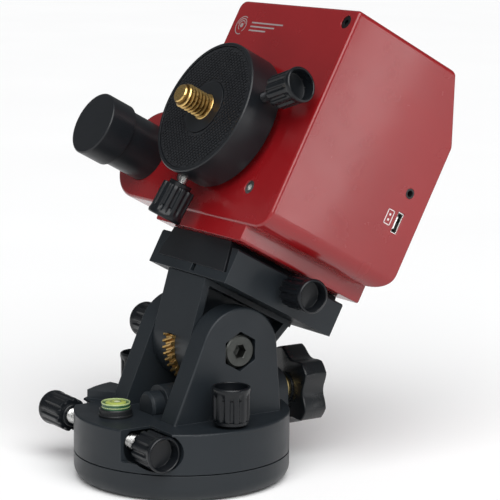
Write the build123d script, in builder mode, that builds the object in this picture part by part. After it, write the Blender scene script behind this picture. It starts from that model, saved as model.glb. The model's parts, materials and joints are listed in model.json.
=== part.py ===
from build123d import *
import os
from math import cos, pi, radians, sin

# Star tracker mount: an azimuth base, an altitude yoke with a worm drive, a dovetail saddle,
# and a tracking head whose camera disc turns on the polar axis.
# Millimetres. +Z is up, the origin is the centre of the base's underside, on the azimuth axis.
# The camera disc faces -Y and up, and the side with the sockets faces +X.

os.makedirs("parts", exist_ok=True)

FIT = 0.05  # radial gap of a running or locating fit
CLEAR = 0.3  # gap between parts that must never touch

# Base and drum
BASE_R = 40.0
PLATE_TOP = 9.95
DRUM_BOTTOM = 10.25
DECK = 25.2
BASE_EDGE_R = 5.0
HUB_R = 9.0
HUB_TOP = 18.2
BUSH_R = 7.0
BUSH_LENGTH = 10.5
SOCKET_R = 3.97  # tapping size of a 3/8-16 thread
GLIDE_IN, GLIDE_OUT = 9.8, 15.5
GLIDE_BOTTOM, GLIDE_TOP = 8.95, 10.2
RETAINER_R, RETAINER_Z = 5.5, 10.8

# Azimuth adjustment: two opposed screws push on a pin that stands in the base plate
ADJUST_Y, ADJUST_Z = -27.5, 18.5
PIN_X, PIN_R = -7.25, 4.0
ADJUST_SWING_X = 3.9  # how far the pin shifts in the drum at the azimuth limits
RIGHT_NOTCH_X, LEFT_NOTCH_X = 17.2, -24.0
NOTCH_BACK_Y, NOTCH_FLOOR_Z = -23.7, 13.5
NOTCH_R = 7.3  # round room about the knobs
NOTCH_ROOF_Z = 24.2  # the right knob's room runs inwards under this roof
NOTCH_INNER_X = 11.0
NOTCH_Y = (-BASE_R, NOTCH_BACK_Y)
PIN_FOOT, PIN_TOP = 4.0, 22.8
POCKET_Y, POCKET_TOP = (-32.7, -21.6), 23.3
LOCK_X, LOCK_Y = 32.8, 0.5
M6_R = 3.0
M4_R = 2.0

# Level
LEVEL_X, LEVEL_Y = -2.0, -27.0

# Yoke and altitude axis
ALT_Y, ALT_Z = 10.9, 49.4
YOKE_IN, YOKE_OUT = 13.15, 22.75
YOKE_TOP_R = 16.1
YOKE_FRONT_Y, YOKE_BACK_Y = -17.0, 29.0
BOLT_R = 4.0
HEX_ACROSS = 12.4
HEX_SEAT_X = 17.4

# Altitude worm drive
WORM_BELOW = 22.0
WORM_Z = ALT_Z - WORM_BELOW
SECTOR_R = 17.6
SECTOR_HALF = 3.0
SECTOR_TEETH = 43
WORM_CREST = WORM_BELOW - SECTOR_R - CLEAR
WORM_ROOT = 3.1
WORM_SHAFT_R = 2.6
STAR_Y0, STAR_Y1 = 46.0, 56.0
STAR_LOBES = 5
STAR_LOBE_AT, STAR_LOBE_R = 10.8, 4.8

# Head frame: x across, depth behind the camera disc's face, and height above the polar axis
LATITUDE = 28.1
FACE_AHEAD, FACE_ABOVE = 43.0, 76.0  # disc face from the altitude axis, along and square to polar
ALT_DEPTH, ALT_HEIGHT = FACE_AHEAD, -FACE_ABOVE

# Saddle, dovetail and altitude block
BLOCK_HALF = 12.7
BLOCK_HUB_R = 16.0
BLOCK_TOP = -56.8
BLOCK_FRONT, BLOCK_BACK = 22.7, 66.0
SADDLE_HALF = 26.4
SADDLE_FRONT, SADDLE_BACK = 22.0, 74.5
SADDLE_BOTTOM, SADDLE_TOP = -56.7, -43.7
CHANNEL_FLOOR = -53.0
BAR_BOTTOM, BAR_TOP = -52.9, -41.5
BAR_HALF_BOTTOM, BAR_HALF_TOP = 23.0, 19.7
BAR_SLOPE = (BAR_HALF_BOTTOM - BAR_HALF_TOP) / (BAR_TOP - BAR_BOTTOM)
CLAMP_DEPTH, CLAMP_HEIGHT = 48.5, -48.3
CHANNEL_SLACK = 1.7  # room between the bar and the clamp side of the channel

# Tracking head housing
WALL = 2.5
BODY_FRONT, BODY_BACK = 17.0, 79.0
BODY_LEFT, BODY_RIGHT = -34.0, 43.0
BODY_BOTTOM, BODY_TOP = -35.4, 50.0
SLANT_TOP_DEPTH, SLANT_LOW_HEIGHT = 66.5, 24.6
LOBE_X, LOBE_W, LOBE_R = -51.0, -17.2, 18.2
FOOT_LEFT, FOOT_RIGHT, FOOT_BOTTOM, FOOT_BACK = -27.0, 31.0, -41.4, 77.0
POST_R = 3.5
POSTS = [(36.8, 19.5), (36.8, -24.4), (-28.6, 19.5), (-28.6, -24.4)]
POST_END = 76.3
# four screws round the axis and one near the top corner
FRONT_SCREWS = [(23.4, -21.7), (23.4, 21.7), (-22.6, 22.6), (-22.6, -22.6), (37.4, 45.0)]
USB_DEPTH, USB_HEIGHT = 69.9, -10.0
JACK_AT = (69.8, 1.8)
BUTTON_AT = (28.0, 4.0)
SADDLE_SCREW_DEPTHS = (30.0, 58.0)
BAR_SCREW_DEPTHS = (40.0, 66.0)

# Right ascension axis
DISC_R, DISC_BACK = 26.0, 14.2
PAD_R_OUT, PAD_R_IN = 24.5, 10.25
FLANGE_R, FLANGE_FRONT, FLANGE_BACK = 17.0, 4.8, 15.6
STUD_R, STUD_TIP, STUD_SHOULDER_R = 4.7, 11.5, 5.2
RA_SHAFT_R, RA_SHAFT_END = 5.95, 57.5
BEARING_R_OUT, BEARING_R_IN, BEARING_WIDTH = 14.0, 6.0, 8.0
BEARING_DEPTHS = [19.5, 36.0]
BOSS_R, BOSS_BACK = 17.0, 44.2
RA_WHEEL_FRONT, RA_WHEEL_WIDTH, RA_TEETH = 45.5, 8.0, 72
RA_WORM_HEIGHT = 27.2
RA_WORM_CREST, RA_WORM_ROOT, RA_WORM_SHAFT = 3.8, 2.6, 2.2
RA_WHEEL_R = RA_WORM_HEIGHT - RA_WORM_CREST - CLEAR
RA_WORM_DEPTH = RA_WHEEL_FRONT + RA_WHEEL_WIDTH / 2

# Motor and spur pair
MOTOR_DEPTH = RA_WORM_DEPTH + 15.0
MOTOR_R = 9.0
GEAR_X, GEAR_WIDTH = 22.2, 3.6
BIG_GEAR_R, BIG_GEAR_TEETH = 9.9, 40
PINION_R, PINION_TEETH = 4.8, 20
BRACKET_HALF = 20.0
BRACKET_SCREWS = [(-16.5, 36.0), (16.5, 36.0)]

# Polar scope
SCOPE_TUBE_R, SCOPE_BORE_R = 11.2, 9.5
SCOPE_CAP_R = 12.5

# Thumb knobs
KNOB_BODY, KNOB_COLLAR = 0.9, 0.62  # shares of the rim's radius
KNOB_RIM, KNOB_LIP, KNOB_HOLLOW, KNOB_WEB = 2.4, 1.3, 4.2, 1.6
KNOB_FLUTES, FLUTE_R, FLUTE_OUTSIDE = 12, 1.1, 0.45

# Thumb screw clamps of the camera disc: direction from +X, inner end
RIGHT_DISC_CLAMP = (20.7, 31.5)
LOWER_DISC_CLAMP = (-97.1, 28.5)
DISC_CLAMP_DEPTH = 7.0

phi = radians(LATITUDE)
polar_axis = Vector(0, -cos(phi), sin(phi))
head_up = Vector(0, sin(phi), cos(phi))
face_centre = Vector(0, ALT_Y, ALT_Z) + polar_axis * FACE_AHEAD + head_up * FACE_ABOVE
HEAD = Plane(origin=face_centre, x_dir=(1, 0, 0), z_dir=polar_axis)


def behind(depth):
    """Plane square to the polar axis, facing out of the front; local axes are x and height."""
    return HEAD.offset(-depth)


def side(x):
    """Plane square to X in the head frame, facing +X; local axes are depth and height."""
    return Plane(origin=face_centre + Vector(x, 0, 0), x_dir=-polar_axis, z_dir=(1, 0, 0))


def level_at(height):
    """Plane along the polar axis, facing up in the head; local axes are x and depth."""
    return Plane(origin=face_centre + head_up * height, x_dir=(1, 0, 0), z_dir=head_up)


def altitude_plane(x):
    """Plane square to X with its origin on the altitude axis; local axes are Y and Z."""
    return Plane(origin=(x, ALT_Y, ALT_Z), x_dir=(0, 1, 0), z_dir=(1, 0, 0))


def worm_plane(y):
    """Plane square to Y facing -Y with its origin on the altitude worm's axis."""
    return Plane(origin=(0, y, WORM_Z), x_dir=(1, 0, 0), z_dir=(0, -1, 0))


def save(piece, label):
    """Labels a finished piece and writes its file."""
    piece.part.label = label
    export_step(piece.part, f"parts/{label}.step")


def bar(plane, radius, length, at=(0, 0), mode=Mode.ADD):
    """Round bar, or round hole, that starts on a plane and runs along its normal."""
    with BuildSketch(plane) as section:
        with Locations(at):
            Circle(radius)
    extrude(section.sketch, amount=length, mode=mode)


def slab(plane, across, up, thickness, mode=Mode.ADD):
    """Rectangular block, or pocket, whose footprint spans two ranges on a plane."""
    middle = ((across[0] + across[1]) / 2, (up[0] + up[1]) / 2)
    with BuildSketch(plane) as section:
        with Locations(middle):
            Rectangle(across[1] - across[0], up[1] - up[0])
    extrude(section.sketch, amount=thickness, mode=mode)


def hexagon(plane, across, depth, at=(0, 0), mode=Mode.ADD, rotation=0):
    """Hexagonal boss or socket."""
    with BuildSketch(plane) as section:
        with Locations(at):
            RegularPolygon(radius=across / 2, side_count=6, major_radius=False, rotation=rotation)
    extrude(section.sketch, amount=depth, mode=mode)


def tooth_gap(radius, teeth, depth):
    """Tapered gap between two teeth, pointing inwards from a wheel's rim."""
    mouth = pi * radius / teeth
    root = mouth * 0.4
    points = [(-depth, -root / 2), (depth, -mouth), (depth, mouth), (-depth, root / 2)]
    with PolarLocations(radius, teeth):
        Polygon(*points, align=None, mode=Mode.SUBTRACT)


def toothed_wheel(plane, radius, teeth, width, groove_depth):
    """Disc with a tapered gap between each two teeth."""
    with BuildSketch(plane) as section:
        Circle(radius)
        tooth_gap(radius, teeth, groove_depth)
    extrude(section.sketch, amount=width)


def worm_thread(plane, crest, root, pitch, turns):
    """Worm profile as a row of V ridges round a plane's normal."""
    points = [(0, 0), (root, 0)]
    for turn in range(turns):
        start = turn * pitch
        points.append((root, start))
        points.append((crest, start + pitch * 0.35))
        points.append((crest, start + pitch * 0.65))
    points.append((root, turns * pitch))
    points.append((0, turns * pitch))
    ridge_plane = Plane(origin=plane.origin, x_dir=plane.x_dir, z_dir=-plane.y_dir)
    with BuildSketch(ridge_plane) as profile:
        with BuildLine():
            Polyline(*dict.fromkeys(points), close=True)
        make_face()
    revolve(profile.sketch, axis=Axis(plane.origin, plane.z_dir))


# ---------------------------------------------------------------- base

with BuildPart() as base_plate:
    bar(Plane.XY, BASE_R, PLATE_TOP)
    fillet(base_plate.edges().group_by(Axis.Z)[0], radius=BASE_EDGE_R)
    bar(Plane.XY.offset(PLATE_TOP), HUB_R, HUB_TOP - PLATE_TOP)
    bar(Plane.XY, BUSH_R + FIT, BUSH_LENGTH, mode=Mode.SUBTRACT)
    bar(Plane.XY.offset(BUSH_LENGTH), RETAINER_R + 0.3, 3.1, mode=Mode.SUBTRACT)
    bar(Plane.XY.offset(BUSH_LENGTH), M6_R + FIT, HUB_TOP - BUSH_LENGTH, mode=Mode.SUBTRACT)
    pin_hole = Plane.XY.offset(PIN_FOOT)
    bar(pin_hole, PIN_R + FIT, PLATE_TOP, at=(PIN_X, ADJUST_Y), mode=Mode.SUBTRACT)
    with BuildSketch(Plane.XY.offset(GLIDE_BOTTOM)):
        Circle(GLIDE_OUT + 0.1)
        Circle(GLIDE_IN - 0.1, mode=Mode.SUBTRACT)
    extrude(amount=PLATE_TOP - GLIDE_BOTTOM, mode=Mode.SUBTRACT)
save(base_plate, "base_plate")

with BuildPart() as tripod_bushing:
    bar(Plane.XY, BUSH_R, BUSH_LENGTH)
    bar(Plane.XY, SOCKET_R, BUSH_LENGTH, mode=Mode.SUBTRACT)
save(tripod_bushing, "tripod_bushing")

with BuildPart() as glide_ring:
    bar(Plane.XY.offset(GLIDE_BOTTOM), GLIDE_OUT, GLIDE_TOP - GLIDE_BOTTOM)
    bar(Plane.XY.offset(GLIDE_BOTTOM), GLIDE_IN, GLIDE_TOP - GLIDE_BOTTOM, mode=Mode.SUBTRACT)
save(glide_ring, "azimuth_glide_ring")

with BuildPart() as azimuth_pin:
    bar(Plane.XY.offset(PIN_FOOT), PIN_R, PIN_TOP - PIN_FOOT, at=(PIN_X, ADJUST_Y))
    chamfer(azimuth_pin.edges().group_by(Axis.Z)[-1], length=0.6)
save(azimuth_pin, "azimuth_pin")

with BuildPart() as azimuth_screw:
    # its head hangs under the hub's shoulder, and its thread holds in the yoke's floor
    bar(Plane.XY.offset(RETAINER_Z), RETAINER_R, 2.7)
    chamfer(azimuth_screw.edges().group_by(Axis.Z)[0], length=0.5)
    hexagon(Plane.XY.offset(RETAINER_Z), 4.0, 1.8, mode=Mode.SUBTRACT)
    bar(Plane.XY.offset(RETAINER_Z + 2.6), M6_R, 22.2 - RETAINER_Z - 2.6)
save(azimuth_screw, "azimuth_retaining_screw")

# ---------------------------------------------------------------- drum and yoke

with BuildPart() as yoke:
    bar(Plane.XY.offset(DRUM_BOTTOM), BASE_R, DECK - DRUM_BOTTOM)
    fillet(yoke.edges().group_by(Axis.Z)[-1], radius=0.7)
    chamfer(yoke.edges().group_by(Axis.Z)[0], length=0.2)
    # hollow round the hub, behind the solid front that carries the azimuth screws
    with BuildSketch(Plane.XY.offset(DRUM_BOTTOM)):
        Circle(36.5)
        Circle(17.0, mode=Mode.SUBTRACT)
        with Locations((0, -40)):
            Rectangle(90, 52, mode=Mode.SUBTRACT)
    extrude(amount=7.75, mode=Mode.SUBTRACT)
    bar(Plane.XY, HUB_R + 0.1, HUB_TOP + 0.2, mode=Mode.SUBTRACT)
    bar(Plane.XY.offset(HUB_TOP), M6_R, 22.4 - HUB_TOP, mode=Mode.SUBTRACT)
    # both yoke arms
    for x in (YOKE_IN, -YOKE_OUT):
        with BuildSketch(Plane.YZ.offset(x)):
            with Locations((ALT_Y, ALT_Z)):
                Circle(YOKE_TOP_R)
            with Locations(((YOKE_FRONT_Y + YOKE_BACK_Y) / 2, DECK)):
                Rectangle(YOKE_BACK_Y - YOKE_FRONT_Y, 0.6)
            make_hull()
        extrude(amount=YOKE_OUT - YOKE_IN)
    arm_faces = yoke.faces().filter_by(Axis.X).group_by(Axis.X)
    arm_edges = [arm_faces[0].edges(), arm_faces[-1].edges()]
    fillet([e for edges in arm_edges for e in edges if e.center().Z > DECK + 1], radius=0.8)
    # worm bearings: a short boss in front, a long one that stands past the rim behind
    for y_front, y_back, radius in ((-10.0, -3.0, 7.5), (24.0, 42.0, 8.5)):
        with BuildSketch(worm_plane(y_back)):
            Circle(radius)
            with Locations((0, -3.0)):
                Rectangle(2 * radius, 6.0)
        extrude(amount=y_back - y_front)
    slab(Plane.XY.offset(22.4), (-5.0, 5.0), (-3.0, 24.0), DECK - 22.4, mode=Mode.SUBTRACT)
    bar(worm_plane(-7.4), BOLT_R + FIT, 2.6, mode=Mode.SUBTRACT)
    bar(worm_plane(-10.0), 5.6, 5.6, mode=Mode.SUBTRACT)
    bar(worm_plane(-3.0), WORM_SHAFT_R + FIT, 5.0, mode=Mode.SUBTRACT)
    bar(worm_plane(42.0), 6.0 + FIT, 9.0, mode=Mode.SUBTRACT)
    bar(worm_plane(33.0), 5.0, 9.0, mode=Mode.SUBTRACT)
    # altitude bolt, with its hexagonal seat in the right arm
    bar(altitude_plane(-YOKE_OUT), BOLT_R + FIT, 2 * YOKE_OUT, mode=Mode.SUBTRACT)
    hexagon(altitude_plane(HEX_SEAT_X), HEX_ACROSS + 0.4, 6, mode=Mode.SUBTRACT, rotation=30)
    # pocket for the azimuth pin, the two screw bores and the two knob notches
    pin_reach = PIN_R + ADJUST_SWING_X + 0.5
    pocket_x = (PIN_X - pin_reach, PIN_X + pin_reach)
    drum_floor = Plane.XY.offset(DRUM_BOTTOM)
    slab(drum_floor, pocket_x, POCKET_Y, POCKET_TOP - DRUM_BOTTOM, mode=Mode.SUBTRACT)
    for reach in (BASE_R, -BASE_R):
        bore_at = Plane.YZ.offset(PIN_X)
        bar(bore_at, M6_R + FIT, reach, at=(ADJUST_Y, ADJUST_Z), mode=Mode.SUBTRACT)
    notch = Plane.XY.offset(NOTCH_FLOOR_Z)
    slab(notch, (RIGHT_NOTCH_X, BASE_R), NOTCH_Y, DECK, mode=Mode.SUBTRACT)
    slab(notch, (-BASE_R, LEFT_NOTCH_X), NOTCH_Y, DECK, mode=Mode.SUBTRACT)
    for x, reach in ((NOTCH_INNER_X, BASE_R), (LEFT_NOTCH_X, -BASE_R)):
        with BuildSketch(Plane.YZ.offset(x)):
            with Locations((ADJUST_Y, ADJUST_Z)):
                Circle(NOTCH_R)
            with Locations((ADJUST_Y, NOTCH_ROOF_Z)):
                Rectangle(
                    2 * NOTCH_R, NOTCH_R, align=(Align.CENTER, Align.MIN), mode=Mode.SUBTRACT
                )
        extrude(amount=reach, mode=Mode.SUBTRACT)
    for x in (LOCK_X, -LOCK_X):
        bar(Plane.XY.offset(15), M6_R + FIT, 15, at=(x, LOCK_Y), mode=Mode.SUBTRACT)
    # raised arc on the deck beside the left arm
    with BuildSketch(Plane.XY.offset(DECK)):
        Circle(38.4)
        Circle(27.0, mode=Mode.SUBTRACT)
        reach = 60.0
        angles = (radians(194), radians(205), radians(216.7))
        with BuildLine():
            Polyline((0, 0), *[(reach * cos(a), reach * sin(a)) for a in angles], close=True)
        make_face(mode=Mode.INTERSECT)
    extrude(amount=3.3)
save(yoke, "yoke_housing")

with BuildPart() as level_cup:
    bar(Plane.XY.offset(DECK), 6.25, 1.2, at=(LEVEL_X, LEVEL_Y))
    bar(Plane.XY.offset(DECK), 5.6, 3.0, at=(LEVEL_X, LEVEL_Y))
    bar(Plane.XY.offset(DECK + 1.2), 4.75, 3.0, at=(LEVEL_X, LEVEL_Y), mode=Mode.SUBTRACT)
save(level_cup, "level_cup")

with BuildPart() as level_vial:
    bar(Plane.XY.offset(DECK + 1.2), 4.7, 1.8, at=(LEVEL_X, LEVEL_Y))
    bar(Plane.XY.offset(DECK + 3.0), 5.3, 2.4, at=(LEVEL_X, LEVEL_Y))
    fillet(level_vial.edges().group_by(Axis.Z)[-1], radius=0.5)
save(level_vial, "level_vial")

with BuildPart() as altitude_bolt:
    hexagon(altitude_plane(HEX_SEAT_X), HEX_ACROSS, 5.1, rotation=30)
    bar(altitude_plane(-39.6), BOLT_R, 39.6 + HEX_SEAT_X)
    # the head's corners are turned down to a round face
    turning = Plane(origin=(0, ALT_Y, ALT_Z), x_dir=(1, 0, 0), z_dir=(0, -1, 0))
    with BuildSketch(turning) as profile:
        with BuildLine():
            Polyline((-50, 0), (-50, 9), (20.6, 9), (22.5, 5.7), (22.5, 0), close=True)
        make_face()
    revolve(profile.sketch, axis=Axis(turning.origin, turning.x_dir), mode=Mode.INTERSECT)
    hexagon(altitude_plane(19.5), 4.0, 5, mode=Mode.SUBTRACT, rotation=30)
save(altitude_bolt, "altitude_bolt")

with BuildPart() as altitude_washers:
    for x in (BLOCK_HALF + 0.03, -YOKE_IN + 0.03):
        bar(altitude_plane(x), 9.0, 0.39)
    bar(altitude_plane(-YOKE_IN), BOLT_R + 0.1, 2 * YOKE_IN, mode=Mode.SUBTRACT)
save(altitude_washers, "altitude_washers")

with BuildPart() as worm_front_cap:
    bar(worm_plane(-10.05), 5.5, 5.35)
    chamfer(worm_front_cap.edges().group_by(Axis.Y)[0], length=0.8)
    bar(worm_plane(-7.6), BOLT_R, 2.45)
save(worm_front_cap, "worm_front_cap")

with BuildPart() as worm_rear_bush:
    bar(worm_plane(42.05), 6.0, 8.85)
    bar(worm_plane(45.0), 4.8, 2.95)
    bar(worm_plane(45.0), WORM_SHAFT_R + FIT, 12.0, mode=Mode.SUBTRACT)
save(worm_rear_bush, "worm_rear_bush")

# ---------------------------------------------------------------- thumb screws


def thumb_knob(plane, radius, length, collar, screw_r):
    """Fluted knob with a collar at the plane, a wider plain rim and a hollow outer end."""
    body = radius * KNOB_BODY
    grip = length - collar - KNOB_RIM
    with BuildPart() as knob:
        bar(plane, radius * KNOB_COLLAR, collar)
        bar(plane.offset(collar), body, grip)
        bar(plane.offset(collar + grip), radius, KNOB_RIM)
        outer_end = knob.faces().filter_by(GeomType.PLANE).sort_by(Axis(plane.origin, plane.z_dir))
        chamfer(outer_end[-1].edges(), length=0.4)
        with BuildSketch(plane.offset(collar)) as gaps:
            with PolarLocations(body + FLUTE_OUTSIDE, KNOB_FLUTES):
                Circle(FLUTE_R)
        extrude(gaps.sketch, amount=grip, mode=Mode.SUBTRACT)
        bar(plane.offset(length - KNOB_HOLLOW), radius - KNOB_LIP, KNOB_HOLLOW, mode=Mode.SUBTRACT)
        bar(plane, screw_r + 0.02, length - KNOB_HOLLOW - KNOB_WEB, mode=Mode.SUBTRACT)
    return knob.part


def screw_rod(plane, radius, length):
    """Plain steel shank with a chamfered tip at the plane."""
    with BuildPart() as rod:
        bar(plane, radius, length)
        tip_end = rod.faces().filter_by(GeomType.PLANE).sort_by(Axis(plane.origin, plane.z_dir))[0]
        chamfer(tip_end.edges(), length=0.5)
    return rod.part


def disc_clamp_plane(angle, radius):
    """Plane square to a disc clamp's axis, at a distance from the polar axis."""
    across = Vector(1, 0, 0) * cos(radians(angle)) + head_up * sin(radians(angle))
    middle = face_centre - polar_axis * DISC_CLAMP_DEPTH
    return Plane(origin=middle + across * radius, x_dir=polar_axis, z_dir=across)


clamp_centre = face_centre - polar_axis * CLAMP_DEPTH + head_up * CLAMP_HEIGHT
azimuth_centre = Vector(0, ADJUST_Y, ADJUST_Z)
# each thumb screw: knob plane, knob radius, length, collar, screw plane, screw radius, length
right_adjust_tip = PIN_X + PIN_R + 0.2
left_adjust_tip = -21.15
bar_side_low = BAR_HALF_BOTTOM - BAR_SLOPE * (CLAMP_HEIGHT - M6_R - BAR_BOTTOM)
THUMB_SCREWS = {
    "right_azimuth_adjust": (
        Plane(origin=azimuth_centre + Vector(18.6, 0, 0), x_dir=(0, 1, 0), z_dir=(1, 0, 0)),
        6.6, 15.0, 1.7,
        Plane(origin=azimuth_centre + Vector(right_adjust_tip, 0, 0), x_dir=(0, 1, 0),
              z_dir=(1, 0, 0)),
        M6_R, 27.5,
    ),
    "left_azimuth_adjust": (
        Plane(origin=azimuth_centre - Vector(33, 0, 0), x_dir=(0, 1, 0), z_dir=(-1, 0, 0)),
        6.6, 16.5, 1.5,
        Plane(origin=azimuth_centre + Vector(left_adjust_tip, 0, 0), x_dir=(0, 1, 0),
              z_dir=(-1, 0, 0)),
        M6_R, 22.0,
    ),
    "right_azimuth_lock": (
        Plane(origin=(LOCK_X, LOCK_Y, 26.2)), 7.0, 13.8, 1.3,
        Plane(origin=(LOCK_X, LOCK_Y, 10.15)), M6_R, 23.5,
    ),
    "left_azimuth_lock": (
        Plane(origin=(-LOCK_X, LOCK_Y, 26.2)), 7.0, 13.8, 1.3,
        Plane(origin=(-LOCK_X, LOCK_Y, 10.15)), M6_R, 23.5,
    ),
    "saddle_clamp": (
        Plane(origin=clamp_centre + Vector(27.9, 0, 0), x_dir=(0, 1, 0), z_dir=(1, 0, 0)),
        6.3, 15.1, 1.4,
        Plane(origin=clamp_centre + Vector(bar_side_low + 0.1, 0, 0), x_dir=(0, 1, 0),
              z_dir=(1, 0, 0)),
        M6_R, 14.0,
    ),
    "right_disc_clamp": (
        disc_clamp_plane(*RIGHT_DISC_CLAMP), 6.5, 14.3, 1.6,
        disc_clamp_plane(RIGHT_DISC_CLAMP[0], FLANGE_R + 0.15), M4_R, 22.0,
    ),
    "lower_disc_clamp": (
        disc_clamp_plane(*LOWER_DISC_CLAMP), 6.5, 14.3, 1.6,
        disc_clamp_plane(LOWER_DISC_CLAMP[0], FLANGE_R + 0.15), M4_R, 19.0,
    ),
}
for name, (grip, radius, length, collar, tip, rod_r, rod_length) in THUMB_SCREWS.items():
    knob = thumb_knob(grip, radius, length, collar, rod_r)
    knob.label = f"{name}_knob"
    export_step(knob, f"parts/{name}_knob.step")
    rod = screw_rod(tip, rod_r, rod_length)
    rod.label = f"{name}_screw"
    export_step(rod, f"parts/{name}_screw.step")

with BuildPart() as altitude_lock_knob:
    lock_plane = Plane(origin=(-YOKE_OUT - CLEAR, ALT_Y, ALT_Z), x_dir=(0, 1, 0), z_dir=(-1, 0, 0))
    add(thumb_knob(lock_plane, 7.0, 22.9, 9.0, BOLT_R))
save(altitude_lock_knob, "altitude_lock_knob")

# ---------------------------------------------------------------- altitude block and saddle


def sector_outline(inner, outer, first, last):
    """Ring sector about the altitude axis; angles run from +Y towards +Z."""
    Circle(outer)
    Circle(inner, mode=Mode.SUBTRACT)
    reach = 2 * outer
    step = (last - first) / 3
    angles = [radians(first + step * i) for i in range(4)]
    with BuildLine() as wedge:
        Polyline((0, 0), *[(reach * cos(a), reach * sin(a)) for a in angles], close=True)
    make_face(wedge.edges(), mode=Mode.INTERSECT)


with BuildPart() as altitude_block:
    with BuildSketch(side(-BLOCK_HALF)):
        with Locations((ALT_DEPTH, ALT_HEIGHT)):
            Circle(BLOCK_HUB_R)
        with Locations(((BLOCK_FRONT + BLOCK_BACK) / 2, BLOCK_TOP - 0.2)):
            Rectangle(BLOCK_BACK - BLOCK_FRONT, 0.4)
        make_hull()
    extrude(amount=2 * BLOCK_HALF)
    # side pockets, leaving a front wall and a hub
    for x in (-BLOCK_HALF, 6.0):
        with BuildSketch(side(x)):
            with Locations((ALT_DEPTH, ALT_HEIGHT)):
                Circle(BLOCK_HUB_R - 3)
            with Locations(((BLOCK_FRONT + BLOCK_BACK) / 2, BLOCK_TOP - 2.2)):
                Rectangle(BLOCK_BACK - BLOCK_FRONT - 6.5, 0.4)
            make_hull()
            with Locations((ALT_DEPTH, ALT_HEIGHT)):
                Circle(12.6, mode=Mode.SUBTRACT)
        extrude(amount=BLOCK_HALF - 6.0, mode=Mode.SUBTRACT)
    # slot for the worm wheel sector
    with BuildSketch(altitude_plane(-SECTOR_HALF - FIT)):
        sector_outline(6.9, SECTOR_R + 2, 165, 333)
    extrude(amount=2 * (SECTOR_HALF + FIT), mode=Mode.SUBTRACT)
    bar(altitude_plane(-BLOCK_HALF), BOLT_R + FIT, 2 * BLOCK_HALF, mode=Mode.SUBTRACT)
    for depth in SADDLE_SCREW_DEPTHS:
        bar(level_at(BLOCK_TOP), 2.45, -9, at=(0, depth), mode=Mode.SUBTRACT)
save(altitude_block, "altitude_block")

with BuildPart() as altitude_sector:
    with BuildSketch(altitude_plane(-SECTOR_HALF)):
        sector_outline(7.0, SECTOR_R, 166, 332)
        tooth_gap(SECTOR_R, SECTOR_TEETH, 1.5)
    extrude(amount=2 * SECTOR_HALF)
save(altitude_sector, "altitude_worm_sector")

with BuildPart() as saddle:
    left_low = BAR_HALF_BOTTOM + 0.15
    right_low = BAR_HALF_BOTTOM + CHANNEL_SLACK
    rise = SADDLE_TOP + 1 - CHANNEL_FLOOR
    with BuildSketch(behind(SADDLE_BACK)):
        with Locations((0, (SADDLE_BOTTOM + SADDLE_TOP) / 2)):
            Rectangle(2 * SADDLE_HALF, SADDLE_TOP - SADDLE_BOTTOM)
        chamfer(vertices().group_by(Axis.Y)[-1], length=0.6)
        with BuildLine():
            Polyline(
                (-left_low, CHANNEL_FLOOR),
                (-left_low + BAR_SLOPE * rise, SADDLE_TOP + 1),
                (right_low - BAR_SLOPE * rise, SADDLE_TOP + 1),
                (right_low, CHANNEL_FLOOR),
                close=True,
            )
        make_face(mode=Mode.SUBTRACT)
    extrude(amount=SADDLE_BACK - SADDLE_FRONT)
    clamp_side = side(BAR_HALF_TOP)
    bar(clamp_side, M6_R + FIT, 10, at=(CLAMP_DEPTH, CLAMP_HEIGHT), mode=Mode.SUBTRACT)
    slab(level_at(CHANNEL_FLOOR), (2.0, 4.6), (SADDLE_FRONT - 1, 26.0), -2.7, mode=Mode.SUBTRACT)
    for depth in SADDLE_SCREW_DEPTHS:
        bar(level_at(CHANNEL_FLOOR), 4.4, -2.3, at=(0, depth), mode=Mode.SUBTRACT)
        bar(level_at(CHANNEL_FLOOR), 2.55, -6, at=(0, depth), mode=Mode.SUBTRACT)
    slab(level_at(SADDLE_BOTTOM), (-4.0, 4.0), (69.0, 72.5), -1.4)
save(saddle, "saddle")

with BuildPart() as saddle_screws:
    for depth in SADDLE_SCREW_DEPTHS:
        bar(level_at(CHANNEL_FLOOR - 0.1), 4.3, -2.1, at=(0, depth))
        bar(level_at(CHANNEL_FLOOR - 2.2), 2.4, -9, at=(0, depth))
        socket = level_at(CHANNEL_FLOOR - 1.6)
        hexagon(socket, 3.0, 2, at=(0, depth), mode=Mode.SUBTRACT)
save(saddle_screws, "saddle_screws")

with BuildPart() as altitude_worm:
    bar(worm_plane(54.8), WORM_SHAFT_R, 62.0)
    worm_thread(worm_plane(21.9), WORM_CREST, WORM_ROOT, 2.4, 9)
save(altitude_worm, "altitude_worm")

with BuildPart() as star_knob:
    with BuildSketch(worm_plane(STAR_Y1)):
        Circle(11.2)
        with PolarLocations(STAR_LOBE_AT, STAR_LOBES, start_angle=36):
            Circle(STAR_LOBE_R)
        fillet(vertices(), radius=3.2)
    extrude(amount=STAR_Y1 - STAR_Y0)
    fillet(star_knob.faces().filter_by(Axis.Y).edges(), radius=1.0)
    bar(worm_plane(STAR_Y0), 6.0, 0.8)
    bar(worm_plane(STAR_Y1 - 1), WORM_SHAFT_R + 0.02, 12, mode=Mode.SUBTRACT)
save(star_knob, "star_knob")

# ---------------------------------------------------------------- head housing

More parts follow.
